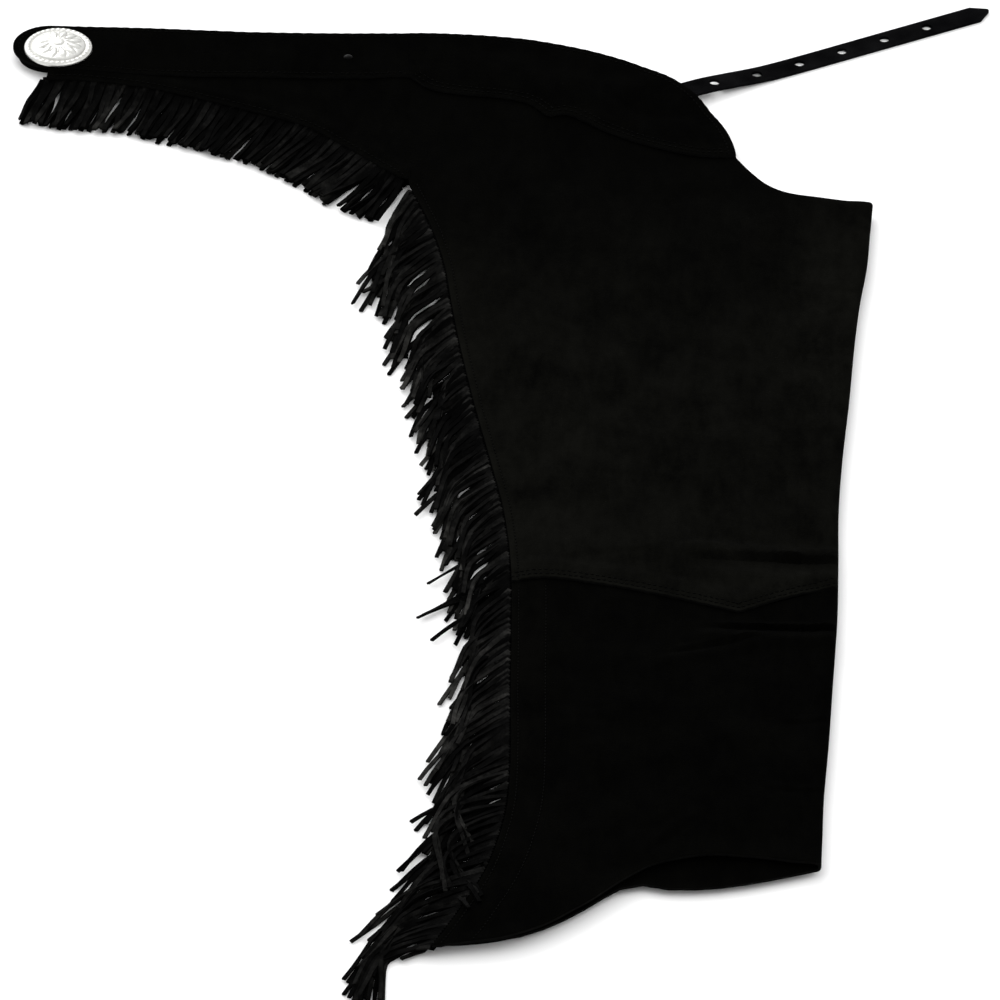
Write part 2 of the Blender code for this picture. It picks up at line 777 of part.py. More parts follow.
def main():
    for old in list(bpy.data.objects):
        bpy.data.objects.remove(old, do_unlink=True)
    scene = bpy.context.scene
    garment = bpy.data.collections.new("Chaps")
    tools = bpy.data.collections.new("Cutters")
    scene.collection.children.link(garment)
    scene.collection.children.link(tools)
    root = bpy.data.objects.new("Chaps_root", None)
    garment.objects.link(root)

    suede = material("Black suede", (0.010, 0.010, 0.011), 0.95)
    suede_fringe = material("Cut suede", (0.012, 0.012, 0.013), 0.9)
    strap_leather = material("Strap leather", (0.008, 0.008, 0.009), 0.55)
    silver = material("Bright silver", (0.82, 0.82, 0.84), 0.22, 1.0)
    material("Cutter", (0.8, 0.1, 0.1), 0.5)
    kit = (root, garment)

    thigh = piece("thigh_panel", thigh_sheet(), suede, *kit)
    shin = piece("shin_panel", shin_sheet(), suede, *kit)
    front_yoke = piece("front_yoke", laid_sheet(front_yoke_outline(), 13, yoke_height), suede, *kit)
    back_yoke = piece(
        "back_yoke", laid_sheet(back_yoke_outline(), 17, lambda x, y: hip_height(x, y, 2)), suede, *kit
    )
    band = piece(
        "waist_band", laid_sheet(band_outline(), 14, lambda x, y: hip_height(x, y, 3)), suede, *kit
    )
    for sheet in (thigh, shin, front_yoke, back_yoke, band):
        thicken(sheet, HIDE)

    strap = piece("strap", strap_sheet(), strap_leather, *kit)
    thicken(strap, STRAP_THICK)
    cut_out(strap, cutter_pins("strap_cutter", hole_places(), STRAP_HOLE / 2, -5, 12, root, tools))

    under = piece("under_half", under_solid(), suede, *kit)
    for sheet in (back_yoke, band, under):
        pin = cutter_pins(sheet.name + "_cutter", [CONCHO_PLACE], POST_CLEAR, -3, 14, root, tools)
        cut_out(sheet, pin)

    yoke_root = shifted(spaced(YOKE_SLIT, 80), STRIP_WIDTH)
    strands = {
        "yoke_fringe": comb(
            yoke_root, lambda x, y: hip_height(x, y, 2), YOKE_FRINGE, "x", 44, 2, (2, 1), 3
        ),
        "leg_fringe": comb(
            leg_root(0, 331, -480), leg_strip_height, LEG_FRINGE, "y", 100, 4, (3, 1, 2), 5, FLARE_FRINGE
        ),
        "under_leg_fringe": comb(
            leg_root(BACK_INSET, 322, -462), lambda x, y: UNDER_STRIP, LEG_FRINGE, "y", 30, 3, (0,), 7
        ),
        "under_yoke_fringe": comb(
            yoke_root, lambda x, y: UNDER_STRIP, YOKE_FRINGE, "x", 30, 2, (0,), 9
        ),
    }
    for name, mesh in strands.items():
        piece(name, mesh, suede_fringe, *kit)

    turned("concho", concho_profile(), CONCHO_PLACE, 28, silver, *kit)
    turned("rivet", rivet_profile(), RIVET_PLACE, 12, silver, *kit)

    centre_on_table(root, [made for made in garment.objects if made.type == "MESH"])


main()
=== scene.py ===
import math
import random

import bmesh
import bpy
from bisect import bisect_right
from mathutils import Matrix, Vector, noise
from mathutils.bvhtree import BVHTree
from mathutils.kdtree import KDTree


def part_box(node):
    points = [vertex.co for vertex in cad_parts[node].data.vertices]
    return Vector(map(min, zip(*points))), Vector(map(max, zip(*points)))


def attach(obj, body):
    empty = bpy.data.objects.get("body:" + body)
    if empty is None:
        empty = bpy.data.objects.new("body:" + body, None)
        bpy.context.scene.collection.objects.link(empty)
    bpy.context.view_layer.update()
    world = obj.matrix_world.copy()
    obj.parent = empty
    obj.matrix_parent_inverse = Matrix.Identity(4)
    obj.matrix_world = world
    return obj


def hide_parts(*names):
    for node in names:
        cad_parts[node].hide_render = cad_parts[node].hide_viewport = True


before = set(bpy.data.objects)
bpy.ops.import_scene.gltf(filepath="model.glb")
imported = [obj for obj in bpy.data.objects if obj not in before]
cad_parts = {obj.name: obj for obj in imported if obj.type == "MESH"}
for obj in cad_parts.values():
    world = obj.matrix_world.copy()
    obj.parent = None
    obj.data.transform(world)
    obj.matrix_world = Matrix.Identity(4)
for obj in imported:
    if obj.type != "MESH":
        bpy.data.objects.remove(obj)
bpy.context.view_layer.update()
print("frame loaded:", len(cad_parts), "nodes")

# The garment lies flat, folded at the centre back. Lengths here are millimetres, in the cutter's own
# frame: +X to the inner leg, +Y to the waist, +Z up. They become metres when a mesh is laid in the frame.
mm = 0.001
garment = {
    "hide": 1.8, "gap": 0.3, "step": 2.1, "yokeLap": 14.0, "kneeLap": 12.0, "backInset": 3.0,
    "sideSeam": -54.0, "seamLap": 0.25, "fullness": 2.2, "conchoX": -264.0, "conchoY": 484.5,
}
waistEdge = [
    (-268.5, 510.5), (-201, 507), (-148, 503.5), (-100, 502), (-54, 502), (-12, 502.5), (12, 499.5),
    (35, 493), (59, 483.5), (83, 469.5), (102, 452), (115, 435.5), (125, 417), (133, 398), (138, 380),
    (140, 367),
]
bandEdge = [(-269, 466.5), (-240, 461.5), (-208, 457.5), (-148, 455), (-100, 454), (-54, 454)]
yokeEdge = [
    (-54, 454), (-41, 441), (-20, 435), (4, 431), (18, 424), (28, 410), (38, 412),
    (50, 405), (62, 395), (84, 381), (112, 369), (128, 366.5), (140, 367),
]
slitLine = [
    (-273, 453), (-247, 452), (-210, 444), (-178, 431), (-143, 415), (-116, 401), (-88, 374), (-72, 356),
    (-60, 342),
]
crotchEdge = [(134, 379), (141, 366), (149, 351), (159, 336), (172, 326.5), (192, 321), (221, 314)]
kneeEdge = [
    (6, -97), (24, -94), (58, -103), (96, -116), (126, -127), (136, -131), (139, -132), (142, -131),
    (152, -125), (166, -117.5), (190, -107), (198, -104),
]
legRows = [  # height, outer seam, inner fold
    (335, -53.7, 222), (315, -48, 221), (281, -39, 219), (246, -33, 217), (205, -29, 212.5), (160, -24, 209),
    (100, -16, 205.5), (35, -6, 201), (-20, 2, 198.5), (-75, 6, 198), (-135, 6.5, 197), (-203, 6, 194),
    (-270, 6, 191), (-324, 4.5, 188), (-360, 0, 187), (-401, -9, 186), (-440, -23, 186), (-481, -40, 186),
]
hemRows = [  # across, hem of the front layer, of the back layer, of the half beneath
    (-40, -481, -473, -468), (-20, -478, -471, -467), (2, -474, -467, -462), (24, -462, -455, -451),
    (47, -441, -435, -430), (62, -424, -419, -414), (76, -409, -411, -404), (88, -398.5, -415, -407),
    (104, -391, -416.5, -409), (123, -388, -415, -408), (142, -389, -411, -404), (162, -392, -405, -398),
    (186, -397, -397, -390),
]

conchoLow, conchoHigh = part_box("concho")
shift = (conchoLow + conchoHigh) / 2 - Vector((garment["conchoX"], garment["conchoY"], 0)) * mm
shift.z = 0
toFrame = Matrix.Translation(shift) @ Matrix.Scale(mm, 4)


def curve(rows, column=1):
    # Smooth curve through a table's column, read at a value of its first column
    rows = sorted(rows)
    keys = [row[0] for row in rows]
    values = [row[column] for row in rows]
    last = len(rows) - 1
    slopes = []
    for i in range(last + 1):
        a, b = max(i - 1, 0), min(i + 1, last)
        slopes.append((values[b] - values[a]) / (keys[b] - keys[a]))

    def read(at):
        at = min(max(at, keys[0]), keys[-1])
        i = min(bisect_right(keys, at) - 1, last - 1)
        span = keys[i + 1] - keys[i]
        t = (at - keys[i]) / span
        return (
            values[i] * (1 + 2 * t) * (1 - t) ** 2 + slopes[i] * span * t * (1 - t) ** 2
            + values[i + 1] * t * t * (3 - 2 * t) - slopes[i + 1] * span * t * t * (1 - t)
        )
    return read


waistY = curve(waistEdge[:9])
bandY = curve(bandEdge)
yokeY = curve(yokeEdge)
kneeY = curve(kneeEdge)
seamX = curve(legRows, 1)
foldX = curve(legRows, 2)


def smooth(value):
    value = min(max(value, 0.0), 1.0)
    return value * value * (3 - 2 * value)


def spaced(points, count):
    # Points at even distances on a smooth curve through the given ones
    points = [Vector(point) for point in points]
    fine = []
    for i in range(len(points) - 1):
        a, b, c, d = points[max(i - 1, 0)], points[i], points[i + 1], points[min(i + 2, len(points) - 1)]
        for n in range(12):
            t = n / 12
            fine.append(0.5 * (2 * b + (c - a) * t + (2 * a - 5 * b + 4 * c - d) * t * t
                               + (3 * b - a - 3 * c + d) * t ** 3))
    fine.append(points[-1])
    run = [0.0]
    for one, other in zip(fine, fine[1:]):
        run.append(run[-1] + (other - one).length)
    out = []
    for n in range(count):
        goal = run[-1] * n / (count - 1)
        at = min(bisect_right(run, goal) - 1, len(run) - 2)
        share = (goal - run[at]) / max(run[at + 1] - run[at], 1e-9)
        out.append(fine[at].lerp(fine[at + 1], min(share, 1.0)))
    return out


def shifted(points, distance):
    # Points moved to the left of their direction of travel
    out = []
    for n, point in enumerate(points):
        run = points[min(n + 1, len(points) - 1)] - points[max(n - 1, 0)]
        out.append(point + Vector((-run.y, run.x)).normalized() * distance)
    return out


def lengthOf(points):
    return sum((b - a).length for a, b in zip(points, points[1:]))


def nearLine(points):
    # Reads the distance to a line and the distance along it
    marks = spaced(points, max(int(lengthOf([Vector(p) for p in points])), 2))
    tree = KDTree(len(marks))
    for n, mark in enumerate(marks):
        tree.insert((mark.x, mark.y, 0), n)
    tree.balance()

    def read(x, y):
        _, n, away = tree.find((x, y, 0))
        return away, float(n)
    return read


print("outlines ready")

# Folds: a soft ridge along a line, its height and half width. Those of the leg lift the front layer alone
folds = {
    "leg": [
        (112, -64, 197, -69, 2.6, 6), (122, -91, 198, -96, 2.2, 8), (122, -158, 197, -161, 2.6, 7),
        (98, -184, 150, -168, 1.3, 6), (30, -60, 120, -66, 1.2, 14), (20, -160, 96, -190, 1.2, 16),
        (74, 300, 120, 306, 1.6, 12), (-10, 250, 60, 60, 1.2, 26), (150, 280, 130, 60, 1.4, 30),
        (60, -230, 40, -360, 1.6, 22), (140, -210, 134, -350, 1.8, 22), (84, -384, 104, -330, 1.6, 14),
    ],
    "hip": [
        (-62, 450, -60, 350, 1.3, 11), (30, 412, 56, 426, 1.2, 12), (-230, 480, -120, 474, 0.7, 16),
        (-20, 470, 60, 440, 0.9, 16), (-150, 440, -90, 430, 0.7, 14),
    ],
    # Sharper creases of the front layer: a trough beside its ridge
    "sharp": [
        (109, -73, 174, -75, 2.4, 2.8), (158, -74, 201, -78, 2.2, 2.8), (116, -147, 201, -149, 2.3, 2.8),
        (94, -178, 150, -159, 1.4, 2.8), (36, -72, 88, -66, 0.5, 3.4), (150, 226, 214, 214, 0.5, 4.0),
        (168, 150, 209, 146, 0.5, 3.6), (172, 62, 204, 66, 0.5, 3.4), (160, -250, 191, -246, 0.6, 3.4),
        (152, -318, 188, -322, 0.5, 3.2), (86, -388, 112, -352, 0.8, 4.0), (74, 298, 118, 304, 0.6, 4.2),
        (14, -236, 70, -250, 0.4, 4.0), (20, 190, 58, 176, 0.4, 4.4), (40, 20, 96, 12, 0.35, 4.0),
    ],
}


def layer(number):
    return garment["hide"] / 2 + number * garment["step"]


def fromFold(fold, x, y):
    x0, y0, x1, y1 = fold[:4]
    runX, runY = x1 - x0, y1 - y0
    along = ((x - x0) * runX + (y - y0) * runY) / (runX * runX + runY * runY)
    nearest = min(max(along, 0.0), 1.0)
    aside = math.hypot(x - x0 - runX * nearest, y - y0 - runY * nearest)
    side = 1 if runX * (y - y0) - runY * (x - x0) > 0 else -1
    return along, aside, side


def ridges(kind, x, y):
    total = 0.0
    for fold in folds[kind]:
        _, aside, _ = fromFold(fold, x, y)
        total += fold[4] * math.exp(-((aside / fold[5]) ** 2))
    return total


def sharpCreases(x, y):
    total = 0.0
    for fold in folds["sharp"]:
        along, aside, side = fromFold(fold, x, y)
        if aside > 16:
            continue
        wander = 1.3 * noise.noise(Vector((x / 26, y / 26, fold[0])))
        away = side * aside + wander
        fade = smooth((along + 0.05) / 0.35) * smooth((1.12 - along) / 0.16)
        total += fade * fold[4] * (
            0.8 * math.exp(-(((away - fold[5]) / fold[5]) ** 2)) - math.exp(-((away / (0.6 * fold[5])) ** 2))
        )
    return total


def undulation(x, y):
    # Slow unevenness that every upper layer shares, never below its seat
    broad = noise.noise(Vector((x / 62, y / 84, 3.1)))
    small = noise.noise(Vector((x / 21, y / 27, 7.7)))
    fine = noise.noise(Vector((x / 8, y / 9, 1.9)))
    return 0.42 * (1 + broad) + 0.16 * (1 + small) + 0.05 * (1 + fine)


def hipHeight(x, y, number):
    return layer(number) + ridges("hip", x, y) + 0.55 * undulation(x, y)


def frontHeight(x, y):
    seam, fold = seamX(y), foldX(y)
    across = min(max((x - seam) / (fold - seam), 0.0), 1.0)
    overBack = smooth((376 - y) / 66)
    loose = smooth((330 - y) / 70) * smooth((x - seam) / 30)
    wave = 1 + 0.25 * math.sin(y / 47 + 1) + 0.2 * math.sin(x / 31 + y / 90)
    height = layer(2) + garment["step"] * overBack
    height += loose * garment["fullness"] * math.sin(math.pi * across) * wave
    height += 1.2 * overBack * smooth((x - fold + 18) / 14)
    height += loose * (ridges("leg", x, y) + sharpCreases(x, y))
    height += (1 - smooth((345 - y) / 20)) * ridges("hip", x, y)
    return height + (0.55 + 0.7 * loose) * undulation(x, y)


def kneeRise(x, y):
    above = smooth((kneeY(x) + garment["kneeLap"] + 16 - y) / 14)
    return garment["step"] * above * (1 - smooth((x - foldX(y) + 22) / 16))


def kneeLap(x):
    bare = smooth((x - foldX(-100) + 48) / 10)
    return garment["kneeLap"] * (1 - bare) - garment["gap"] * bare


# Shader maths: a wire carries a socket, and Python's operators add the Math nodes
class Wire:
    def __init__(self, look, socket):
        self.look = look
        self.socket = socket

    def __add__(self, other):
        return self.look.maths("ADD", self, other)

    def __sub__(self, other):
        return self.look.maths("SUBTRACT", self, other)

    def __rsub__(self, other):
        return self.look.maths("SUBTRACT", other, self)

    def __mul__(self, other):
        return self.look.maths("MULTIPLY", self, other)

    def __pow__(self, other):
        return self.look.maths("POWER", self, other)

    __radd__ = __add__
    __rmul__ = __mul__


class Look:
    def __init__(self, name, **fixed):
        self.material = bpy.data.materials.new(name)
        self.material.use_nodes = True
        self.tree = self.material.node_tree
        self.shader = self.tree.nodes["Principled BSDF"]
        for socket, value in fixed.items():
            self.shader.inputs[socket].default_value = value
        self.place = self.node("ShaderNodeTexCoord", out="Object")

    def node(self, kind, settings=None, inputs=None, out=0):
        made = self.tree.nodes.new(kind)
        for name, value in (settings or {}).items():
            setattr(made, name, value)
        for name, value in (inputs or {}).items():
            if isinstance(value, Wire):
                self.tree.links.new(value.socket, made.inputs[name])
            else:
                made.inputs[name].default_value = value
        return Wire(self, made.outputs[out])

    def maths(self, operation, one, other):
        return self.node("ShaderNodeMath", {"operation": operation}, {0: one, 1: other})

    def grain(self, scale, detail=2.0, rough=0.5, stretch=(1, 1, 1), twist=0.0, distortion=0.0):
        # Noise on the piece's own place; scale is in spots to the metre
        place = self.node("ShaderNodeMapping", None, {
            "Vector": self.place, "Scale": stretch, "Rotation": (0, 0, twist),
        })
        return self.node("ShaderNodeTexNoise", None, {
            "Vector": place, "Scale": scale, "Detail": detail, "Roughness": rough, "Distortion": distortion,
        })

    def own(self, attribute):
        return self.node("ShaderNodeAttribute", {"attribute_name": attribute}, out="Fac")

    def spread(self, value, low, high, newLow=0.0, newHigh=1.0):
        return self.node("ShaderNodeMapRange", None, {
            "Value": value, "From Min": low, "From Max": high, "To Min": newLow, "To Max": newHigh,
        })

    def blend(self, factor, one, other):
        mixed = self.tree.nodes.new("ShaderNodeMix")
        mixed.data_type = "RGBA"
        for socket, value in ((0, factor), (6, one), (7, other)):
            if isinstance(value, Wire):
                self.tree.links.new(value.socket, mixed.inputs[socket])
            else:
                mixed.inputs[socket].default_value = value if socket == 0 else (*value, 1.0)
        return Wire(self, mixed.outputs[2])

    def bump(self, height, distance, strength=1.0):
        return self.node("ShaderNodeBump", None, {
            "Height": height, "Distance": distance, "Strength": strength,
        })

    def feed(self, **sockets):
        for name, wire in sockets.items():
            self.tree.links.new(wire.socket, self.shader.inputs[name.replace("_", " ")])
        return self.material


napped = {
    "dark": (0.0003, 0.0003, 0.00025), "light": (0.0042, 0.0042, 0.0034), "rough": 0.97, "specular": 0.002,
    "sheen": 0.002, "sheenRough": 0.5,
}


def suedeLook(name, lift=1.0, brush=0.35):
    # Napped hide: cloudy patches, brushed streaks, a fine pile, paler worn edges, and the painted highlight
    # and shade of its pale attribute
    fixed = {
        "Specular IOR Level": napped["specular"], "Sheen Weight": napped["sheen"],
        "Sheen Roughness": napped["sheenRough"],
    }
    look = Look(name, **fixed)
    clouds = look.grain(17, 4.0, 0.6, (1, 1, 1), 0.3)
    patches = look.grain(48, 3.0, 0.6, (1.3, 0.8, 1), 0.5)
    streaks = look.grain(170, 3.0, 0.6, (1.0, 0.24, 1), brush)
    pile = look.grain(620, 2.0, 0.7)
    fuzz = look.grain(1700, 1.0, 0.6)
    wearAndGlint = look.own("wearAndGlint")
    tone = look.spread(clouds, 0.34, 0.66) * 0.34 + look.spread(patches, 0.32, 0.68) * 0.30
    tone = tone + look.spread(streaks, 0.3, 0.7) * 0.20 + look.spread(pile, 0.25, 0.75) * 0.16
    # The pale attribute brings in painted highlight and painted shade
    tone = (tone + wearAndGlint * 0.35) * look.own("pale")
    dark = tuple(value * lift for value in napped["dark"])
    light = tuple(value * lift for value in napped["light"])
    colour = look.blend(tone, dark, light)
    rough = napped["rough"] - look.spread(patches, 0.3, 0.7) * 0.10
    relief = look.bump(pile * 0.6 + fuzz * 0.4 + streaks * 0.25, 0.0007, 0.65)
    return look.feed(Base_Color=colour, Roughness=rough, Normal=relief)


def cutEdgeLook(name, lift=1.0):
    # Raw side of the hide, fibrous and a little greyer than its face
    look = Look(name, **{"Specular IOR Level": 0.004})
    fibres = look.grain(900, 3.0, 0.7, (1, 1, 2.6))
    patches = look.grain(90, 2.0)
    tone = look.spread(fibres, 0.3, 0.7) * 0.6 + look.spread(patches, 0.3, 0.7) * 0.4
    dark = tuple(value * lift for value in (0.0010, 0.0010, 0.0010))
    light = tuple(value * lift for value in (0.0040, 0.0040, 0.0037))
    relief = look.bump(fibres, 0.0005, 0.6)
    rough = 0.93 - patches * 0.06
    return look.feed(Base_Color=look.blend(tone, dark, light), Roughness=rough, Normal=relief)


def strandLook(name):
    # Soft strands: each has its own tone, and a slight shine where it bends. Their few pale segments are
    # painted glints
    look = Look(name, **{"Specular IOR Level": 0.006})
    patches = look.grain(90, 3.0, 0.6)
    fibres = look.grain(700, 3.0, 0.7, (1.0, 0.4, 1))
    wearAndGlint = look.own("wearAndGlint")
    tone = wearAndGlint * 0.6 + look.spread(patches, 0.3, 0.7) * 0.3 + look.spread(fibres, 0.3, 0.7) * 0.15
    # The steep tone curve keeps most strands near black; its pale end is painted glint
    colour = look.blend(tone ** 5.0, (0.0003, 0.0003, 0.0003), (0.028, 0.0275, 0.0255))
    rough = 0.80 - look.spread(patches, 0.3, 0.7) * 0.16 - wearAndGlint * 0.20
    return look.feed(Base_Color=colour, Roughness=rough, Normal=look.bump(fibres, 0.0006, 0.6))


def threadLook():
    look = Look("waxed thread", **{"Specular IOR Level": 0.01})
    twist = look.grain(1500, 1.0, 0.5, (1, 1, 1), 0.8)
    tone = look.spread(twist, 0.3, 0.7)
    colour = look.blend(tone, (0.0006, 0.0006, 0.0006), (0.0024, 0.0024, 0.0022))
    return look.feed(Base_Color=colour, Roughness=0.72 - twist * 0.2, Normal=look.bump(twist, 0.0002, 0.5))


def strapLook():
    look = Look("strap leather", **{"Specular IOR Level": 0.004})
    pores = look.node("ShaderNodeTexVoronoi", {"feature": "DISTANCE_TO_EDGE"}, {
        "Vector": look.place, "Scale": 900.0,
    })
    clouds = look.grain(60, 3.0)
    wearAndGlint = look.own("wearAndGlint")
    tone = look.spread(clouds, 0.3, 0.7) * 0.6 + wearAndGlint * 0.6
    colour = look.blend(tone, (0.0007, 0.0007, 0.0009), (0.0042, 0.0042, 0.0046))
    rough = 0.72 - look.spread(clouds, 0.3, 0.7) * 0.14
    relief = look.bump(look.spread(pores, 0.0, 0.25) * 0.6 + clouds * 0.4, 0.0003, 0.5)
    return look.feed(Base_Color=colour, Roughness=rough, Normal=relief)


def silverLook():
    # Plated metal, brighter where it is rubbed and grey in the cuts
    look = Look("silver plate", **{"Metallic": 1.0})
    haze = look.grain(240, 4.0, 0.65)
    scratch = look.grain(900, 2.0, 0.7, (1, 0.08, 1), 0.7)
    cuts = look.own("cuts")
    tone = look.spread(haze, 0.3, 0.7) * 0.25 + cuts * 0.75
    colour = look.blend(tone, (0.66, 0.66, 0.635), (0.26, 0.255, 0.24))
    rough = 0.26 + look.spread(haze, 0.3, 0.7) * 0.12 + cuts * 0.25
    relief = look.bump(scratch * 0.7 + haze * 0.3, 0.0001, 0.35)
    return look.feed(Base_Color=colour, Roughness=rough, Normal=relief)


def blackenedLook():
    look = Look("blackened metal", **{"Metallic": 1.0})
    haze = look.grain(700, 3.0, 0.6)
    tone = look.spread(haze, 0.3, 0.7)
    colour = look.blend(tone, (0.0012, 0.0012, 0.0013), (0.0035, 0.0035, 0.0034))
    return look.feed(Base_Color=colour, Roughness=0.5 + tone * 0.16, Normal=look.bump(haze, 0.0001, 0.4))


looks = {
    # The upper and lower leg are a lit and a shaded copy of one suede: the upper leg's higher lift is painted
    # light, the lower leg's lower lift painted shade
    "thigh": suedeLook("black suede, upper leg", 0.94, 0.35),
    "shin": suedeLook("black suede, lower leg", 0.28, 0.15),
    "hip": suedeLook("black suede, hip", 0.25, 1.1),
    "fringe": strandLook("black suede, fringe"),
    "edge": cutEdgeLook("cut edge of the hide"),
    "thread": threadLook(),
    "strap": strapLook(),
    "silver": silverLook(),
    "blackened": blackenedLook(),
}
print("materials ready:", len(looks))


def lay(name, shape, materials, node):
    # Takes a bmesh in millimetres into the frame, as the piece that stands for a node
    bmesh.ops.transform(shape, matrix=toFrame, verts=shape.verts)
    mesh = bpy.data.meshes.new(name)
    shape.to_mesh(mesh)
    shape.free()
    made = bpy.data.objects.new(name, mesh)
    bpy.context.scene.collection.objects.link(made)
    for material in materials:
        mesh.materials.append(material)
    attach(made, "root")
    if node:
        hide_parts(node)
    return made


def finishMesh(made, sharp=38):
    # Fixes the modifiers' result as the mesh, smooth but for its sharp edges
    graph = bpy.context.evaluated_depsgraph_get()
    ready = bpy.data.meshes.new_from_object(made.evaluated_get(graph))
    old = made.data
    made.modifiers.clear()
    made.data = ready
    bpy.data.meshes.remove(old)
    ready.name = made.name
    ready.shade_smooth()
    ready.set_sharp_from_angle(angle=math.radians(sharp))
    return made


def thicken(made, thickness, bevel=0.35):
    wall = made.modifiers.new("hide", "SOLIDIFY")
    wall.thickness = thickness * mm
    wall.offset = 0
    wall.use_even_offset = True
    wall.use_quality_normals = True
    wall.material_offset_rim = 1
    edge = made.modifiers.new("edge", "BEVEL")
    edge.width = bevel * mm
    edge.segments = 2
    edge.limit_method = "ANGLE"
    edge.angle_limit = math.radians(55)
    edge.harden_normals = False
    return finishMesh(made)


def evenTone(x, y):
    return 1.0


def spot(x, y, atX, atY, wide, tall):
    return math.exp(-(((x - atX) / wide) ** 2) - ((y - atY) / tall) ** 2)


def thighTone(x, y):
    # Darker towards the waist and rubbed along the fold, with painted shade in the knee crease and a painted
    # highlight above the point of the knee seam
    rubbed = 0.5 * smooth((x - 160) / 30) * smooth((y - 20) / 100)
    outer = 0.14 * (1 - smooth((x - 10) / 120)) * smooth((330 - y) / 120)
    # Painted highlight above the point of the knee seam, painted shade in the crease higher up
    knee = 0.42 * spot(x, y, 168, -102, 36, 14) - 0.6 * spot(x, y, 176, -74, 36, 4.5)
    return 0.22 + 0.72 * smooth((400 - y) / 330) + rubbed + outer + knee


def shinTone(x, y):
    # A lighter strip beside the outer seam, and painted shade in the crease below the knee
    strip = 0.5 * (1 - smooth((x - seamX(y) - 18) / 6)) * smooth((y + 320) / 60)
    return 1.0 + strip - 0.7 * spot(x, y, 170, -148, 36, 5)


def frontYokeTone(x, y):
    # Painted highlights where its lower edge catches the light, at the notch and towards the crotch
    return 1.0 + 2.4 * spot(x, y, 40, 410, 12, 8) + 1.6 * spot(x, y, 108, 373, 30, 7)


def backYokeTone(x, y):
    return 1.0 + 0.5 * smooth((430 - y) / 60)


hipFoot = 330  # height where the straight side seam of the hip ends


def markWearAndShading(made, reach, share=1.0, uneven=22.0, paleness=evenTone):
    # Paints how worn the hide is, from the edge of its outline inwards but not at the side seam, and how
    # pale it is, which carries the painted highlight and shade it is given, before it gets its thickness
    mesh = made.data
    shape = bmesh.new()
    shape.from_mesh(mesh)
    edges = [vert for vert in shape.verts if vert.is_boundary]
    tree = KDTree(len(edges))
    for n, vert in enumerate(edges):
        tree.insert(vert.co, n)
    tree.balance()
    toCutter = toFrame.inverted()
    worn = shape.verts.layers.float.new("wearAndGlint")
    pale = shape.verts.layers.float.new("pale")
    for vert in shape.verts:
        _, _, away = tree.find(vert.co)
        place = toCutter @ vert.co
        patchy = 0.6 + 0.8 * noise.noise(vert.co / (uneven * mm))
        rub = share * max(patchy, 0.1) * math.exp(-((away / (reach * mm)) ** 2))
        if place.y > hipFoot:
            rub *= smooth((abs(place.x - garment["sideSeam"]) - 4) / 10)
        vert[worn] = rub
        vert[pale] = paleness(place.x, place.y)
    shape.to_mesh(mesh)
    shape.free()


def diced(outline, spacing, height):
    # A flat outline cut into small cells and laid at height(x, y)
    sheet = bmesh.new()
    sheet.faces.new([sheet.verts.new((point[0], point[1], 0)) for point in outline])
    for axis in (0, 1):
        low = min(point[axis] for point in outline)
        high = max(point[axis] for point in outline)
        count = math.ceil((high - low) / spacing)
        for n in range(1, count):
            place, facing = Vector(), Vector()
            place[axis] = low + (high - low) * n / count
            facing[axis] = 1
            everything = sheet.verts[:] + sheet.edges[:] + sheet.faces[:]
            bmesh.ops.bisect_plane(
                sheet, geom=everything, dist=spacing * 0.12, plane_co=place, plane_no=facing
            )
    wide = [face for face in sheet.faces if len(face.verts) > 4]
    bmesh.ops.triangulate(sheet, faces=wide)
    for vert in sheet.verts:
        vert.co.z = height(vert.co.x, vert.co.y)
    bmesh.ops.recalc_face_normals(sheet, faces=sheet.faces[:])
    if sum(face.normal.z for face in sheet.faces) < 0:
        bmesh.ops.reverse_faces(sheet, faces=sheet.faces[:])
    return sheet


def patch(top, bottom, left, right, u, v):
    # Point of the surface between four edges
    def at(edge, share):
        place = share * (len(edge) - 1)
        n = min(int(place), len(edge) - 2)
        return edge[n].lerp(edge[n + 1], place - n)
    across = at(top, u).lerp(at(bottom, u), v) + at(left, v).lerp(at(right, v), u)
    return across - top[0].lerp(top[-1], u).lerp(bottom[0].lerp(bottom[-1], u), v)


def legEdge(read, start, end, inset=0.0, rows=60):
    heights = [start + (end - start) * n / rows for n in range(rows + 1)]
    return [Vector((read(y) + inset, y)) for y in heights]


def graded(length, parts):
    # Shares of a length, in steps that change along it: (reach, step) for each part
    marks, at = [0.0], 0.0
    for reach, step in parts:
        count = max(round((min(reach, length) - at) / step), 1)
        marks += [at + (min(reach, length) - at) * (n + 1) / count for n in range(count)]
        at = min(reach, length)
    return [mark / length for mark in marks]


wrapped = {"turns": 12, "backColumns": 16}


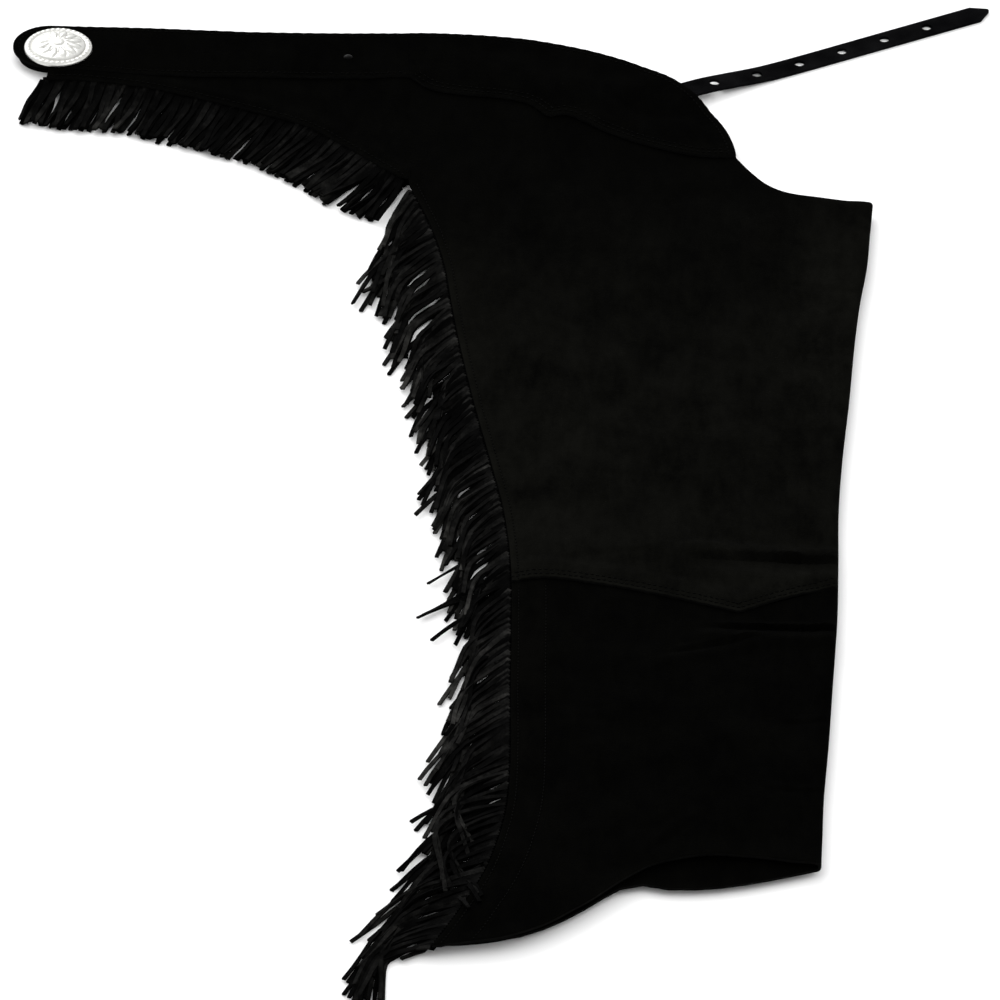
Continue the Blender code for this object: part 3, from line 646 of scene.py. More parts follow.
def wrappedLeg(frontEdges, backEdges, columns, rows, height):
    # One hide: front layer, turn at the inner fold, back layer
    turns, backColumns = wrapped["turns"], wrapped["backColumns"]
    flatColumns = len(columns) - 1
    total = flatColumns + turns + backColumns
    sheet = bmesh.new()
    bmesh.ops.create_grid(sheet, x_segments=total, y_segments=len(rows) - 1, size=0.5)
    back = layer(2)
    for vert in sheet.verts:
        column = round((vert.co.x + 0.5) * total)
        v = rows[round((0.5 - vert.co.y) * (len(rows) - 1))]
        edge = patch(*frontEdges, 1.0, v)
        radius = (height(edge.x, edge.y) - back) / 2
        room = radius + garment["hide"] / 2
        if column <= flatColumns:
            u = columns[column]
            flat = patch(*frontEdges, u, v)
            flat.x -= room * u ** 6
            vert.co = (flat.x, flat.y, height(flat.x, flat.y))
        elif column < flatColumns + turns:
            angle = math.pi * (column - flatColumns) / turns
            other = patch(*backEdges, 1.0, v)
            middle = edge.lerp(other, (column - flatColumns) / turns)
            vert.co = (
                edge.x - room + radius * math.sin(angle), middle.y, back + radius + radius * math.cos(angle)
            )
        else:
            u = 1 - (column - flatColumns - turns) / backColumns
            flat = patch(*backEdges, u, v)
            flat.x -= room * u ** 6
            vert.co = (flat.x, flat.y, back)
    bmesh.ops.recalc_face_normals(sheet, faces=sheet.faces[:])
    top = max(sheet.faces, key=lambda face: face.calc_center_median().z)
    if top.normal.z < 0:
        bmesh.ops.reverse_faces(sheet, faces=sheet.faces[:])
    return sheet


# Seams that pucker the hide: rows of stitches sink it a little, and gather it between them
puckers = {"depth": 0.42, "width": 1.5, "gather": 0.16, "wave": 7.5, "reach": 7.0}


def seamRelief(lines, x, y):
    total = 0.0
    for read in lines:
        away, along = read(x, y)
        if away < 3 * puckers["reach"]:
            total -= puckers["depth"] * math.exp(-((away / puckers["width"]) ** 2))
            ripple = math.cos(2 * math.pi * along / puckers["wave"] + 2.2 * math.sin(along / 31))
            total += puckers["gather"] * ripple * math.exp(-((away / puckers["reach"]) ** 2))
    return total


kneeLine = spaced(kneeEdge, 90)
thighSeam = [Vector((seamX(y), y)) for y in range(336, -97, -6)]
shinSeam = [Vector((seamX(y), y)) for y in range(-100, -479, -6)]
stitchLines = {  # rows of stitches, each set in from the seam that it follows
    "knee": [shifted(kneeLine, 3.5), shifted(kneeLine, 7.5)],
    "thighSeam": [shifted(thighSeam, 4.0)],
    "shinSeam": [shifted(shinSeam, 4.0), shifted(shinSeam, 20.0)],
}


thighSettings = {
    "columns": [(8, 1.0), (24, 2.0), (400, 2.4)], "rows": [(300, 2.7), (415, 2.0), (430, 1.0)],
    "cut": (0.554, 0.587), "cutArea": 0.2095,
}


def makeThigh():
    start = garment["sideSeam"] - garment["seamLap"]
    underYoke = [(x, yokeY(x) + garment["yokeLap"]) for x in (start, -30, -5, 18, 38, 60, 85, 112)]
    top = spaced(underYoke + crotchEdge, 120)
    upper = [Vector((start, y)) for y in (468, 445, 420, 395, 370, 350)]
    left = spaced(upper + legEdge(seamX, 335, kneeEdge[0][1], rows=30)[::3], 120)
    right = legEdge(foldX, crotchEdge[-1][1], kneeEdge[-1][1])
    front = (top, spaced(kneeEdge, 120), left, right)
    backTop = [Vector((seamX(312) + garment["backInset"], 311)), Vector(crotchEdge[-1])]
    backLeft = legEdge(seamX, 311, -96, garment["backInset"])
    back = (backTop, [backLeft[-1], Vector(kneeEdge[-1])], backLeft, right)
    lines = [nearLine(line) for key in ("knee", "thighSeam") for line in stitchLines[key]]

    def height(x, y):
        return frontHeight(x, y) + kneeRise(x, y) + seamRelief(lines, x, y)

    columns = graded(245, thighSettings["columns"])
    rows = graded(430, thighSettings["rows"])
    made = lay("thighLeather", wrappedLeg(front, back, columns, rows, height),
               [looks["thigh"], looks["edge"]], "thigh_panel")
    markWearAndShading(made, 4.0, paleness=thighTone)
    return thicken(made, garment["hide"])


shinSettings = {
    "columns": [(8, 1.0), (18, 2.0), (24, 1.0), (400, 2.7)], "rows": [(16, 2.0), (320, 2.7)],
    "cut": (0.440, 0.402), "cutArea": 0.1215,
}


def makeShin():
    gap = garment["gap"]
    joint = [Vector((p.x, p.y + kneeLap(p.x))) for p in spaced(kneeEdge, 120)]
    joint[-1].y = kneeEdge[-1][1] - gap
    frontHem = spaced([(row[0], row[1]) for row in hemRows], 160)
    backHem = spaced([(row[0], row[2]) for row in hemRows], 160)
    right = legEdge(foldX, joint[-1].y, hemRows[-1][1])
    left = legEdge(seamX, joint[0].y, hemRows[0][1])
    backLeft = legEdge(seamX, -96 - gap, hemRows[0][2], garment["backInset"])
    back = ([backLeft[0], joint[-1]], backHem, backLeft, right)
    lines = [nearLine(line) for line in stitchLines["shinSeam"]]
    hem = nearLine([(row[0], row[1]) for row in hemRows])

    def height(x, y):
        away, along = hem(x, y)
        curl = 0.9 * math.exp(-((away / 9) ** 2)) * (1 + noise.noise(Vector((along / 30, 0, 5))))
        return frontHeight(x, y) + seamRelief(lines, x, y) + curl

    columns = graded(190, shinSettings["columns"])
    rows = graded(320, shinSettings["rows"])
    made = lay("shinLeather", wrappedLeg((joint, frontHem, left, right), back, columns, rows, height),
               [looks["shin"], looks["edge"]], "shin_panel")
    markWearAndShading(made, 3.5, paleness=shinTone)
    return thicken(made, garment["hide"])


tab = {"x": -269.0, "y": 488.5, "radius": 22.0, "steps": 24}


def tabArc(inset, raised=0.0):
    radius = tab["radius"] - inset
    turn = [math.pi * (1.5 - n / tab["steps"]) for n in range(tab["steps"] + 1)]
    return [(tab["x"] + radius * math.cos(a), tab["y"] + raised + radius * math.sin(a)) for a in turn]


def waistRun(start, end, count, inset=0.0):
    across = [start + (end - start) * n / count for n in range(count + 1)]
    return [(x, waistY(x) - inset) for x in across]


strapPlan = {
    "startX": 90.0, "startY": 432.0, "tipX": 291.5, "tipY": 538.0, "width": 15.0, "thick": 1.8,
    "hole": 3.1, "firstHole": 42.3, "pitch": 28.7, "holes": 6, "cut": (0.015, 0.2277),
    "droop": [(0, 5.4), (34, 5.3), (52, 3.8), (74, 1.7), (96, 1.05), (150, 1.0), (240, 1.0)],
}
strapStart = Vector((strapPlan["startX"], strapPlan["startY"]))
strapRun = Vector((strapPlan["tipX"], strapPlan["tipY"])) - strapStart
strapLength = strapRun.length
strapRun = strapRun.normalized()
strapHeight = curve(strapPlan["droop"])


def alongStrap(x, y):
    away = Vector((x, y)) - strapStart
    return away.dot(strapRun), away.cross(strapRun)


def yokeHeight(x, y):
    gap, step = garment["gap"], garment["step"]
    overThigh = 1 - smooth((y - yokeY(x) - garment["yokeLap"] - 2) / 46)
    byBand = 1 - smooth((x - garment["sideSeam"] - 2) / 60)
    along, aside = alongStrap(x, y)
    overStrap = (1 - smooth((abs(aside) - strapPlan["width"] / 2 - 1) / 30)) * smooth((along + 34) / 34)
    lift = max(overThigh, byBand, overStrap * (strapPlan["thick"] + gap + 0.3) / step)
    return hipHeight(x, y, 2) + (step + gap) * lift


hipSettings = {
    "cell": 2.3, "frontCut": (0.195, 0.137), "frontArea": 0.0149, "backCut": (0.236, 0.168),
    "backArea": 0.0200, "bandCut": (0.237, 0.057), "bandArea": 0.0114, "edgeLift": 1.5,
}


slitEdge = shifted(spaced(slitLine, 80), 0.8)
yokeLine = spaced(yokeEdge, 100)
frontEdge = spaced(waistEdge[4:], 90)
bandLow = [Vector((x, bandY(x))) for x in range(-262, -56, 4)]
bandTop = [Vector((x, waistY(x))) for x in range(-56, -262, -4)]
stitchLines["yokeLow"] = [shifted(yokeLine, 3.2), shifted(yokeLine, 7.0)]
stitchLines["yokeTop"] = [shifted(frontEdge, -4.0)]
stitchLines["bandLow"] = [shifted(bandLow, 3.2)]
stitchLines["bandTop"] = [shifted(bandTop, 3.6)]
stitchLines["bandTab"] = [[Vector(point) for point in tabArc(3.4)]]
stitchLines["slit"] = [shifted(slitEdge, 3.0)]


def makeFrontYoke():
    start = garment["sideSeam"] - garment["seamLap"]
    low = [tuple(point) for point in spaced(yokeEdge, 70)]
    low[0] = (start, low[0][1])
    edge = [tuple(point) for point in frontEdge]
    outline = low + edge[-2:0:-1] + [(start, waistEdge[4][1])]
    lines = [nearLine(line) for key in ("yokeLow", "yokeTop") for line in stitchLines[key]]
    made = lay("frontYokeLeather", diced(outline, hipSettings["cell"],
               lambda x, y: yokeHeight(x, y) + seamRelief(lines, x, y)),
               [looks["hip"], looks["edge"]], "front_yoke")
    # A larger share of paler edge than the other pieces: worn hide, and partly a painted highlight along its
    # lower edge
    markWearAndShading(made, 4.5, 1.5, paleness=frontYokeTone)
    return thicken(made, garment["hide"])


def makeBackYoke():
    # Its lower edge covers the strip of the fringe
    end = garment["sideSeam"] + garment["seamLap"]
    low = [tuple(point) for point in slitEdge]
    low[0] = (slitLine[0][0] + 2, low[0][1])
    low[-1] = (end, low[-1][1])
    outline = low[::-1] + tabArc(1.4, 0.7) + waistRun(-250, end, 30, 0.6)
    lines = [nearLine(line) for line in stitchLines["slit"]]
    slit = nearLine(slitEdge)

    def height(x, y):
        raised = hipSettings["edgeLift"] * (1 - smooth((slit(x, y)[0] - 6) / 12))
        return hipHeight(x, y, 2) + seamRelief(lines, x, y) + raised

    made = lay("backYokeLeather", diced(outline, hipSettings["cell"], height),
               [looks["hip"], looks["edge"]], "back_yoke")
    markWearAndShading(made, 3.5, paleness=backYokeTone)
    return thicken(made, garment["hide"])


def makeBand():
    end = garment["sideSeam"] + garment["seamLap"]
    low = [(x, bandY(x)) for x in (end, *range(-58, -250, -6))]
    outline = low + tabArc(0) + waistRun(-250, end, 34)
    lines = [nearLine(line) for key in ("bandLow", "bandTop") for line in stitchLines[key]]
    made = lay("bandLeather", diced(outline, hipSettings["cell"],
               lambda x, y: hipHeight(x, y, 3) + seamRelief(lines, x, y)),
               [looks["hip"], looks["edge"]], "waist_band")
    markWearAndShading(made, 3.5, 1.2)
    return thicken(made, garment["hide"])


def makeStrap():
    side = Vector((-strapRun.y, strapRun.x)) * strapPlan["width"] / 2
    shoulder = strapStart + strapRun * (strapLength - 9)
    steps = 60
    edge = [strapStart.lerp(shoulder, n / steps) for n in range(steps + 1)]
    tip = [(3.5, 0.45), (1.2, 0.24), (0, 0.1)]
    outline = [point - side for point in edge]
    outline += [strapStart + strapRun * (strapLength - back) - side * share for back, share in tip]
    outline += [strapStart + strapRun * (strapLength - back) + side * share for back, share in tip[::-1]]
    outline += [point + side for point in edge[::-1]]

    def height(x, y):
        along, aside = alongStrap(x, y)
        crown = 0.25 * (1 - (2 * aside / strapPlan["width"]) ** 2)
        return strapHeight(along) + crown + 0.12

    strip = diced([tuple(point) for point in outline], 2.4, height)
    made = lay("strapLeather", strip, [looks["strap"], looks["strap"]], "strap")
    markWearAndShading(made, 1.6, 0.8)
    wall = made.modifiers.new("hide", "SOLIDIFY")
    wall.thickness = strapPlan["thick"] * mm
    wall.offset = 0
    pins = bmesh.new()
    for n in range(strapPlan["holes"]):
        place = strapStart + strapRun * (strapPlan["firstHole"] + strapPlan["pitch"] * n)
        bmesh.ops.create_cone(
            pins, cap_ends=True, segments=32, radius1=strapPlan["hole"], radius2=strapPlan["hole"], depth=16,
            matrix=Matrix.Translation((place.x, place.y, 4)),
        )
    bmesh.ops.transform(pins, matrix=toFrame, verts=pins.verts)
    punch = bpy.data.objects.new("punch", bpy.data.meshes.new("punch"))
    pins.to_mesh(punch.data)
    pins.free()
    bpy.context.scene.collection.objects.link(punch)
    cut = made.modifiers.new("holes", "BOOLEAN")
    cut.object = punch
    edge = made.modifiers.new("edge", "BEVEL")
    edge.width = 0.3 * mm
    edge.segments = 2
    edge.limit_method = "ANGLE"
    edge.angle_limit = math.radians(50)
    bpy.context.view_layer.update()
    finishMesh(made)
    bpy.data.objects.remove(punch)
    return made


def insetLoop(outline, distance):
    # A closed outline, drawn clockwise, moved inwards
    moved = []
    for n, point in enumerate(outline):
        before = (point - outline[n - 1]).normalized()
        after = (outline[(n + 1) % len(outline)] - point).normalized()
        inward = Vector((before.y + after.y, -before.x - after.x)).normalized()
        corner = max(inward.dot(Vector((before.y, -before.x))), 0.5)
        moved.append(point + inward * distance / corner)
    return moved


underSettings = {"cut": (0.506, 0.976), "cutArea": 0.198, "inset": 1.2, "cell": 14}


def underOutline():
    inset = underSettings["inset"]
    waist = shifted(spaced(waistEdge[1:], 46), -inset)
    crotch = shifted(spaced(crotchEdge[1:], 20), -inset)[1:-1]
    fold = [Vector((foldX(y) - inset - 0.6, y)) for y in range(300, -380, -17)]
    hem = spaced([(row[0], row[3]) for row in hemRows[::-1]], 60)
    hem = [point - Vector((inset * (n < 8), 0)) for n, point in enumerate(hem)]
    seam = [Vector((seamX(y) + garment["backInset"] + 0.3, y)) for y in range(-445, 335, 12)]
    slit = shifted(spaced(slitLine[::-1], 40), -7.3)
    rounded = [Vector(point) for point in tabArc(3.2, 1.6)]
    return waist + crotch + fold + hem[1:-1] + seam + slit[:-1] + rounded


def makeUnder(name, level, inset, node):
    # The hidden half: one hide on the table and one on it, a little short of it all round
    outline = [tuple(point) for point in insetLoop(underOutline(), inset)]
    sheet = diced(outline, underSettings["cell"], lambda x, y: level)
    made = lay(name, sheet, [looks["shin"], looks["edge"]], node)
    markWearAndShading(made, 3.0)
    return thicken(made, garment["hide"], 0.5)


# Fringe: (place, lean from straight down towards -X, turn by the tip, length)
legFringe = {
    "rows": [
        (331, 20, -12, 62), (315, 31, -21, 68), (300, 43, -31, 75), (281, 52, -41, 81), (246, 52, -42, 74),
        (205, 53, -42, 71), (160, 50, -40, 62), (100, 51, -40, 66), (35, 56, -44, 78), (-20, 54, -44, 74),
        (-75, 54, -42, 68), (-135, 54, -42, 72), (-203, 56, -42, 80), (-270, 58, -40, 91),
        (-324, 58, -38, 89), (-360, 65, -37, 93), (-401, 75, -46, 102), (-430, 78, -60, 105),
        (-455, 80, -70, 102), (-478, 84, -77, 98),
    ],
    "over": [(-288, 74, -88, 108), (-325, 78, -92, 108), (-364, 72, -86, 102)],
    "strands": 290, "width": 2.9, "thick": 1.2, "levels": (3.6, 1.4, 2.5, 3.1, 1.9), "seed": 11, "strip": 4.0,
    "bendBy": 0.6, "tone": [(-480, 0.74), (-340, 0.76), (-250, 1.0), (331, 0.95)],
    "stray": [  # height of the root, place of the tip
        (262, -84, 229), (168, -61, 124), (88, -49, 39), (34, -52, -14), (-84, -47, -119),
        (-112, -42, -149), (-300, -53, -341), (296, -86, 236), (60, -50, 8), (-96, -50, -124),
        (-474, -58, -485), (-50, -44, -87),
    ],
}
yokeFringe = {
    "rows": [
        (-273, 15, 1, 44), (-247, 14, 1, 49), (-210, 17, 2, 47), (-178, 21, 2, 47), (-143, 27, 2, 47),
        (-116, 32, 2, 48), (-88, 36, 2, 47), (-72, 37, 2, 47), (-60, 24, 1, 43),
    ],
    "strands": 124, "width": 3.3, "thick": 1.3, "levels": (4.1, 2.5, 3.3), "seed": 4, "strip": 6.0,
    "bendBy": 1.0, "tone": [(-480, 0.7), (480, 0.7)],
}


def pull(shape, face, corners):
    # Extrudes a face to the given corners, which are in the face's own order
    end = bmesh.ops.extrude_discrete_faces(shape, faces=[face])["faces"][0]
    for loop, corner in zip(end.loops, corners):
        loop.vert.co = corner
    return end


def ribbon(shape, points, sides, ups, widths, thick, tone):
    # A flat strand through points, with its own side and up direction at each, and a tone of its own
    # The tone sets each strand's random tone and its painted glints
    wearAndGlint = shape.verts.layers.float.get("wearAndGlint") or shape.verts.layers.float.new("wearAndGlint")

    def section(n):
        side, up = sides[n] * widths[n] / 2, ups[n] * thick / 2
        return [points[n] - side - up, points[n] + side - up, points[n] + side + up, points[n] - side + up]
    first = [shape.verts.new(corner) for corner in section(0)]
    end = shape.faces.new(first)
    for vert in first:
        vert[wearAndGlint] = tone
    for n in range(1, len(points)):
        end = pull(shape, end, section(n))
        for vert in end.verts:
            vert[wearAndGlint] = tone * (0.7 + 0.6 * n / len(points))
    shape.faces.new(first[::-1])


def drape(shape, root, lean, turn, length, plan, rootHeight, level, chance, bends=8, ground=None):
    # A strand leaves its strip, sinks to its level in the pile and hangs in a slow curve, twisting a little.
    # With a ground, it ends by climbing over it
    points, sides, ups, widths = [], [], [], []
    place = Vector(root)
    twist = chance.uniform(-0.7, 0.7)
    curl = chance.uniform(-8, 8)
    wobble = chance.uniform(0, 6.28)
    for n in range(bends + 1):
        t = n / bends
        angle = math.radians(lean + turn * smooth(t / plan["bendBy"]) + curl * math.sin(5.2 * t + wobble))
        along = Vector((-math.sin(angle), -math.cos(angle)))
        across = Vector((math.cos(angle), -math.sin(angle), 0))
        sink = smooth(t / 0.28)
        height = rootHeight * (1 - sink) + level * sink + 0.35 * math.sin(5 * t + wobble) * sink
        if ground:
            height = max(height, ground(place.x, place.y) * smooth(t / 0.4))
        roll = twist * math.sin(4.6 * t + wobble) * sink
        up = Vector((0, 0, 1)) * math.cos(roll) + across * math.sin(roll)
        side = across * math.cos(roll) - Vector((0, 0, 1)) * math.sin(roll)
        lowest = plan["thick"] / 2 * math.cos(roll) + plan["width"] / 2 * abs(math.sin(roll)) + 0.15
        points.append(Vector((place.x, place.y, max(height, lowest))))
        sides.append(side)
        ups.append(up)
        widths.append(plan["width"] * (1.0 - 0.18 * t) * (1 + 0.05 * math.sin(9 * t + wobble)))
        place = place + along * length / bends
    ribbon(shape, points, sides, ups, widths, plan["thick"], chance.random() * curve(plan["tone"])(root.y))


def backingStrip(shape, inner, plan, height):
    # The strip lies low, so that the strands cross over it
    outer = shifted(inner, -plan["strip"])
    points, sides, ups, widths = [], [], [], []
    for near, far in zip(inner, outer):
        middle = (near + far) / 2
        across = (near - far).normalized()
        points.append(Vector((middle.x, middle.y, height(middle.x, middle.y) - plan["thick"] + 0.1)))
        sides.append(Vector((across.x, across.y, 0)))
        ups.append(Vector((0, 0, 1)))
        widths.append(plan["strip"])
    ribbon(shape, points, sides, ups, widths, 1.2, 0.2)


def finishFringe(name, shape, node):
    bmesh.ops.recalc_face_normals(shape, faces=shape.faces[:])
    return finishMesh(lay(name, shape, [looks["fringe"]], node), 48)


def overLeg(x, y):
    # Lowest place for a strand that crosses the leg's own hide
    inside = smooth((x - seamX(y) + 12) / 10) * smooth((y - hemRows[0][1] + 2) / 4)
    return inside * (frontHeight(x, y) + garment["hide"] / 2 + 0.9)


def makeLegFringe(name, node, inset, start, end, count, levels, stripHeight, strays):
    plan = legFringe
    chance = random.Random(plan["seed"] + count)
    heights = [start + (end - start) * n / 200 for n in range(201)]
    inner = shifted([Vector((seamX(y) + inset, y)) for y in heights], -0.7)
    shape = bmesh.new()
    backingStrip(shape, shifted(inner, 1.7), plan, stripHeight)
    lean, turn, length = (curve(plan["rows"], k) for k in (1, 2, 3))
    overLean, overTurn, overLength = (curve(plan["over"], k) for k in (1, 2, 3))
    for n, root in enumerate(spaced(shifted(inner, -0.5), count)):
        y = root.y
        clump = noise.noise(Vector((n * 0.17, 2.7, inset)))
        over = strays and n % 3 == 0 and plan["over"][-1][0] < y < plan["over"][0][0]
        level = 4.6 if over else levels[n % len(levels)] + chance.uniform(-0.15, 0.15)
        tables = (overLean, overTurn, overLength) if over else (lean, turn, length)
        angle, bend, reach = (read(y) for read in tables)
        angle += 6 * clump + chance.uniform(-6, 6)
        bend += 8 * noise.noise(Vector((n * 0.24, 8.2, 0))) + chance.uniform(-6, 6)
        reach *= 1 + 0.06 * clump + chance.uniform(-0.16, 0.04) * (1.6 if over else 1)
        bends, ground = (14, overLeg) if over else (8, None)
        rootHeight = stripHeight(root.x, root.y) + 0.3
        drape(shape, root, angle, bend, reach, plan, rootHeight, level, chance, bends, ground)
    if strays:
        for y, tipX, tipY in plan["stray"]:
            root = Vector((seamX(y) + inset - 2, y))
            run = Vector((tipX, tipY)) - root
            angle = math.degrees(math.atan2(-run.x, -run.y))
            drape(shape, root, angle + 9, -18, run.length * 1.01, plan, stripHeight(root.x, y), 2.8, chance)
    return finishFringe(name, shape, node)


def makeYokeFringe(name, node, count, levels, stripHeight):
    plan = yokeFringe
    chance = random.Random(plan["seed"] + count)
    inner = shifted(spaced(slitLine, 120), plan["strip"])
    shape = bmesh.new()
    backingStrip(shape, inner, plan, stripHeight)
    lean, turn, length = (curve(plan["rows"], k) for k in (1, 2, 3))
    for n, root in enumerate(spaced(shifted(spaced(slitLine, 120), 1.2), count)):
        clump = noise.noise(Vector((n * 0.27, 4.4, 1)))
        angle = lean(root.x) + 5 * clump + chance.uniform(-3, 3)
        reach = length(root.x) * (1 + 0.02 * clump + chance.uniform(-0.05, 0.02))
        bend = turn(root.x) + chance.uniform(-4, 4)
        level = levels[n % len(levels)] + chance.uniform(-0.2, 0.2)
        drape(shape, root, angle, bend, reach, plan, stripHeight(root.x, root.y), level, chance, 6)
    return finishFringe(name, shape, node)


def legStripHeight(x, y):
    return layer(2) + garment["step"] * smooth((376 - y) / 66) - 0.3


# Ornament: a dome in a ring of beads, with plain petals cut round it
concho = {
    "steps": 144, "beads": 36, "petals": 12, "rise": 5.6, "beadRing": 18.3, "beadHeight": 0.75, "post": 2.1,
    "dome": [
        (20.4, 0.0), (20.4, 0.8), (20.1, 1.5), (19.6, 1.9), (19.0, 2.3), (18.4, 2.45), (17.8, 2.4),
        (17.2, 2.2), (16.8, 1.95), (16.4, 1.9), (16.0, 2.15), (15.6, 2.6), (14.8, 2.95), (13.8, 3.3),
        (12.8, 3.6), (11.8, 3.85), (10.8, 4.05), (9.8, 4.25), (8.8, 4.4), (7.8, 4.5), (6.8, 4.58),
        (5.8, 4.64), (4.8, 4.68), (4.0, 4.7), (3.5, 4.72), (3.2, 4.95), (2.8, 5.3), (2.2, 5.45),
        (1.4, 5.55), (0.7, 5.59),
    ],
}


def makeConcho():
    base = conchoHigh.z / mm - concho["rise"]
    shape = bmesh.new()
    centre = (garment["conchoX"], garment["conchoY"], 0)
    rim = [shape.verts.new((centre[0] + r, centre[1], base + z)) for r, z in concho["dome"]]
    crown = shape.verts.new((centre[0], centre[1], base + concho["rise"]))
    line = [shape.edges.new(pair) for pair in zip(rim, rim[1:] + [crown])]
    bmesh.ops.spin(
        shape, geom=line + rim + [crown], cent=centre, axis=(0, 0, 1), angle=2 * math.pi,
        steps=concho["steps"], use_merge=True,
    )
    bmesh.ops.remove_doubles(shape, verts=shape.verts[:], dist=0.01)
    cuts = shape.verts.layers.float.new("cuts")
    for vert in shape.verts:
        x, y = vert.co.x - centre[0], vert.co.y - centre[1]
        radius, angle = math.hypot(x, y), math.atan2(y, x)
        ring = math.exp(-(((radius - concho["beadRing"]) / 0.85) ** 2))
        bead = abs(math.cos(angle * concho["beads"] / 2)) ** 0.6
        vert.co.z += ring * concho["beadHeight"] * (bead - 0.75)
        # Petals: a leaf shape between two radii, its outline cut in, its middle lifted
        turn = (angle * concho["petals"] / (2 * math.pi)) % 1.0 - 0.5
        reach = (radius - 5.0) / 9.6
        leaf = math.sin(math.pi * min(max(reach, 0), 1)) ** 0.8 * 0.42
        edge = abs(abs(turn) - leaf) * radius * 2 * math.pi / concho["petals"]
        inside = 0.0 if leaf <= 0 else smooth((leaf - abs(turn)) / 0.3)
        groove = math.exp(-((edge / 0.42) ** 2)) * (0.05 < reach < 0.98)
        vert.co.z += 0.32 * inside - 0.38 * groove
        moat = math.exp(-(((radius - 16.4) / 0.6) ** 2)) + math.exp(-(((radius - 3.7) / 0.4) ** 2))
        vert[cuts] = min(1.0, 0.75 * groove + 0.8 * moat + ring * (1 - bead) * 1.2)
    bmesh.ops.recalc_face_normals(shape, faces=shape.faces[:])
    if sum(face.normal.z for face in shape.faces) < 0:
        bmesh.ops.reverse_faces(shape, faces=shape.faces[:])
    made = lay("conchoDome", shape, [looks["silver"]], None)
    wall = made.modifiers.new("plate", "SOLIDIFY")
    wall.thickness = 0.7 * mm
    wall.offset = -1
    finishMesh(made, 60)
    post = bmesh.new()
    bmesh.ops.create_cone(
        post, cap_ends=True, segments=24, radius1=concho["post"], radius2=concho["post"], depth=base + 3,
        matrix=Matrix.Translation((centre[0], centre[1], (base + 3) / 2 + garment["gap"])),
    )
    screw = lay("conchoPost", post, [looks["silver"]], None)
    finishMesh(screw, 40)
    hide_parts("concho")
    return made


def makeRivet():
    low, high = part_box("rivet")
    centre = (low + high) / 2
    shape = bmesh.new()
    bmesh.ops.create_uvsphere(shape, u_segments=28, v_segments=16, radius=(high.x - low.x) / 2)
    for vert in shape.verts:
        vert.co.z = max(vert.co.z, 0) * (high.z - low.z) / (high.x - low.x) * 2
    bmesh.ops.remove_doubles(shape, verts=shape.verts[:], dist=1e-6)
    bmesh.ops.recalc_face_normals(shape, faces=shape.faces[:])
    bmesh.ops.translate(shape, verts=shape.verts[:], vec=(centre.x, centre.y, low.z))
    bmesh.ops.transform(shape, matrix=toFrame.inverted(), verts=shape.verts)
    made = lay("rivetDome", shape, [looks["blackened"]], "rivet")
    return finishMesh(made, 60)


thread = {"pitch": 3.4, "length": 2.5, "radius": 0.34, "sunk": 0.05}


def sew(name, lines, under):
    # Stitches along each line, seated on the piece that they hold
    tree = BVHTree.FromObject(under, bpy.context.evaluated_depsgraph_get())
    shape = bmesh.new()
    count = 0
    for line in lines:
        length = lengthOf(line)
        ends = spaced(line, max(int(length / thread["pitch"]), 2))
        for one, other in zip(ends, ends[1:]):
            middle = toFrame @ Vector(((one.x + other.x) / 2, (one.y + other.y) / 2, 40))
            hit, normal, _, _ = tree.ray_cast(middle, Vector((0, 0, -1)))
            if hit is None:
                continue
            run = Vector((other.x - one.x, other.y - one.y, 0)).normalized()
            run = (run - normal * run.dot(normal)).normalized()
            side = normal.cross(run)
            seat = toFrame.inverted() @ hit + normal * (thread["radius"] - thread["sunk"])
            turn = Matrix((run, side, normal)).transposed().to_4x4()
            size = Matrix.Diagonal((thread["length"] / 2, thread["radius"], thread["radius"], 1))
            bmesh.ops.create_uvsphere(
                shape, u_segments=6, v_segments=6, radius=1, matrix=Matrix.Translation(seat) @ turn @ size
            )
            count += 1
    made = lay(name, shape, [looks["thread"]], None)
    print(name, count, "stitches")
    return finishMesh(made, 80)


print("cutting the hides")
thigh = makeThigh()
shin = makeShin()
frontYoke = makeFrontYoke()
backYoke = makeBackYoke()
band = makeBand()
strap = makeStrap()
underLow = makeUnder("underBackLeather", garment["hide"] / 2, 0.0, "under_half")
underHigh = makeUnder("underFrontLeather", garment["hide"] * 1.5 + garment["gap"], 0.5, None)

print("cutting the fringe")
legStrands = makeLegFringe(
    "legFringeStrands", "leg_fringe", 0, 331, -480, legFringe["strands"], legFringe["levels"],
    legStripHeight, True,
)
yokeStrands = makeYokeFringe(
    "yokeFringeStrands", "yoke_fringe", yokeFringe["strands"], yokeFringe["levels"],
    lambda x, y: hipHeight(x, y, 2),
)
underLegStrands = makeLegFringe(
    "underLegFringeStrands", "under_leg_fringe", garment["backInset"], 322, -460, 70, (0.9,),
    lambda x, y: 2.0, False,
)
underYokeStrands = makeYokeFringe(
    "underYokeFringeStrands", "under_yoke_fringe", 34, (0.95,), lambda x, y: 2.0
)

print("setting the metal")
conchoDome = makeConcho()
rivetDome = makeRivet()

print("sewing")
thighStitches = sew(
    "thighStitches", stitchLines["knee"] + stitchLines["thighSeam"], thigh
)
shinStitches = sew("shinStitches", stitchLines["shinSeam"], shin)
yokeStitches = sew(
    "yokeStitches", stitchLines["yokeLow"] + stitchLines["yokeTop"], frontYoke
)
bandStitches = sew(
    "bandStitches", stitchLines["bandLow"] + stitchLines["bandTop"] + stitchLines["bandTab"], band
)
slitStitches = sew("slitStitches", stitchLines["slit"], backYoke)

studio = {"floor": 40.0, "white": 0.92, "world": 1.12, "keyPower": 52.0, "keySize": 2.6}


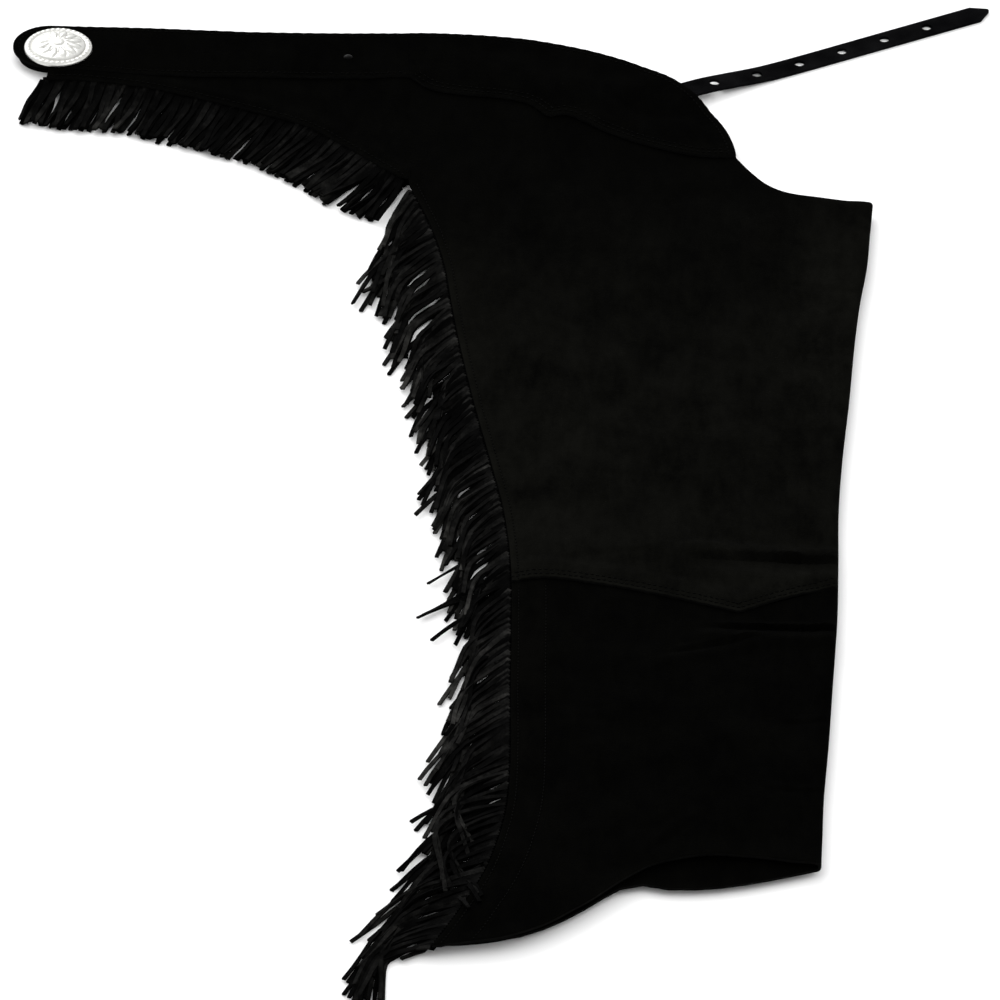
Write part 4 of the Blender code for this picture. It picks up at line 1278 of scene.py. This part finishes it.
def makeStudio():
    shape = bmesh.new()
    bmesh.ops.create_grid(shape, x_segments=1, y_segments=1, size=studio["floor"])
    bmesh.ops.translate(shape, verts=shape.verts[:], vec=(0, 0, -0.0001))
    mesh = bpy.data.meshes.new("tableTop")
    shape.to_mesh(mesh)
    shape.free()
    floor = bpy.data.objects.new("tableTop", mesh)
    bpy.context.scene.collection.objects.link(floor)
    paper = Look("white table top", **{"Roughness": 0.8, "Specular IOR Level": 0.1})
    tooth = paper.grain(30, 3.0)
    tone = paper.blend(tooth, (studio["white"],) * 3, (studio["white"] + 0.01,) * 3)
    mesh.materials.append(paper.feed(Base_Color=tone))

    world = bpy.data.worlds.new("studio")
    bpy.context.scene.world = world
    world.use_nodes = True
    sky = world.node_tree.nodes["Background"]
    sky.inputs["Color"].default_value = (1, 1, 1, 1)
    sky.inputs["Strength"].default_value = studio["world"]

    for name, place, power, size in (
        ("key", (-1.1, 2.4, 1.9), studio["keyPower"], studio["keySize"]),
        ("fill", (1.8, -1.6, 2.4), studio["keyPower"] * 0.35, studio["keySize"]),
    ):
        light = bpy.data.lights.new(name, "AREA")
        light.energy = power
        light.size = size
        lamp = bpy.data.objects.new(name, light)
        lamp.location = place
        lamp.rotation_euler = (-Vector(place)).to_track_quat("-Z", "Y").to_euler()
        bpy.context.scene.collection.objects.link(lamp)
    return floor


camera = {
    "elevation": math.degrees(math.asin(1 / 1.83)), "width": 0.5875, "lens": 1600.0, "sensor": 36.0,
    "aim": (-0.4, -4.3, 6),
}


def makeCamera():
    data = bpy.data.cameras.new("longLens")
    data.lens = camera["lens"]
    data.sensor_width = camera["sensor"]
    distance = camera["width"] * camera["lens"] / camera["sensor"]
    up = math.radians(camera["elevation"])
    target = toFrame @ Vector(camera["aim"])
    back = Vector((0, -math.cos(up), math.sin(up)))
    data.clip_start, data.clip_end = 1.0, distance * 4
    eye = bpy.data.objects.new("longLens", data)
    eye.location = target + back * distance
    eye.rotation_euler = (-back).to_track_quat("-Z", "Y").to_euler()
    bpy.context.scene.collection.objects.link(eye)
    bpy.context.scene.camera = eye


tableTop = makeStudio()
makeCamera()
bpy.context.scene.view_settings.view_transform = "Standard"
print("studio ready")
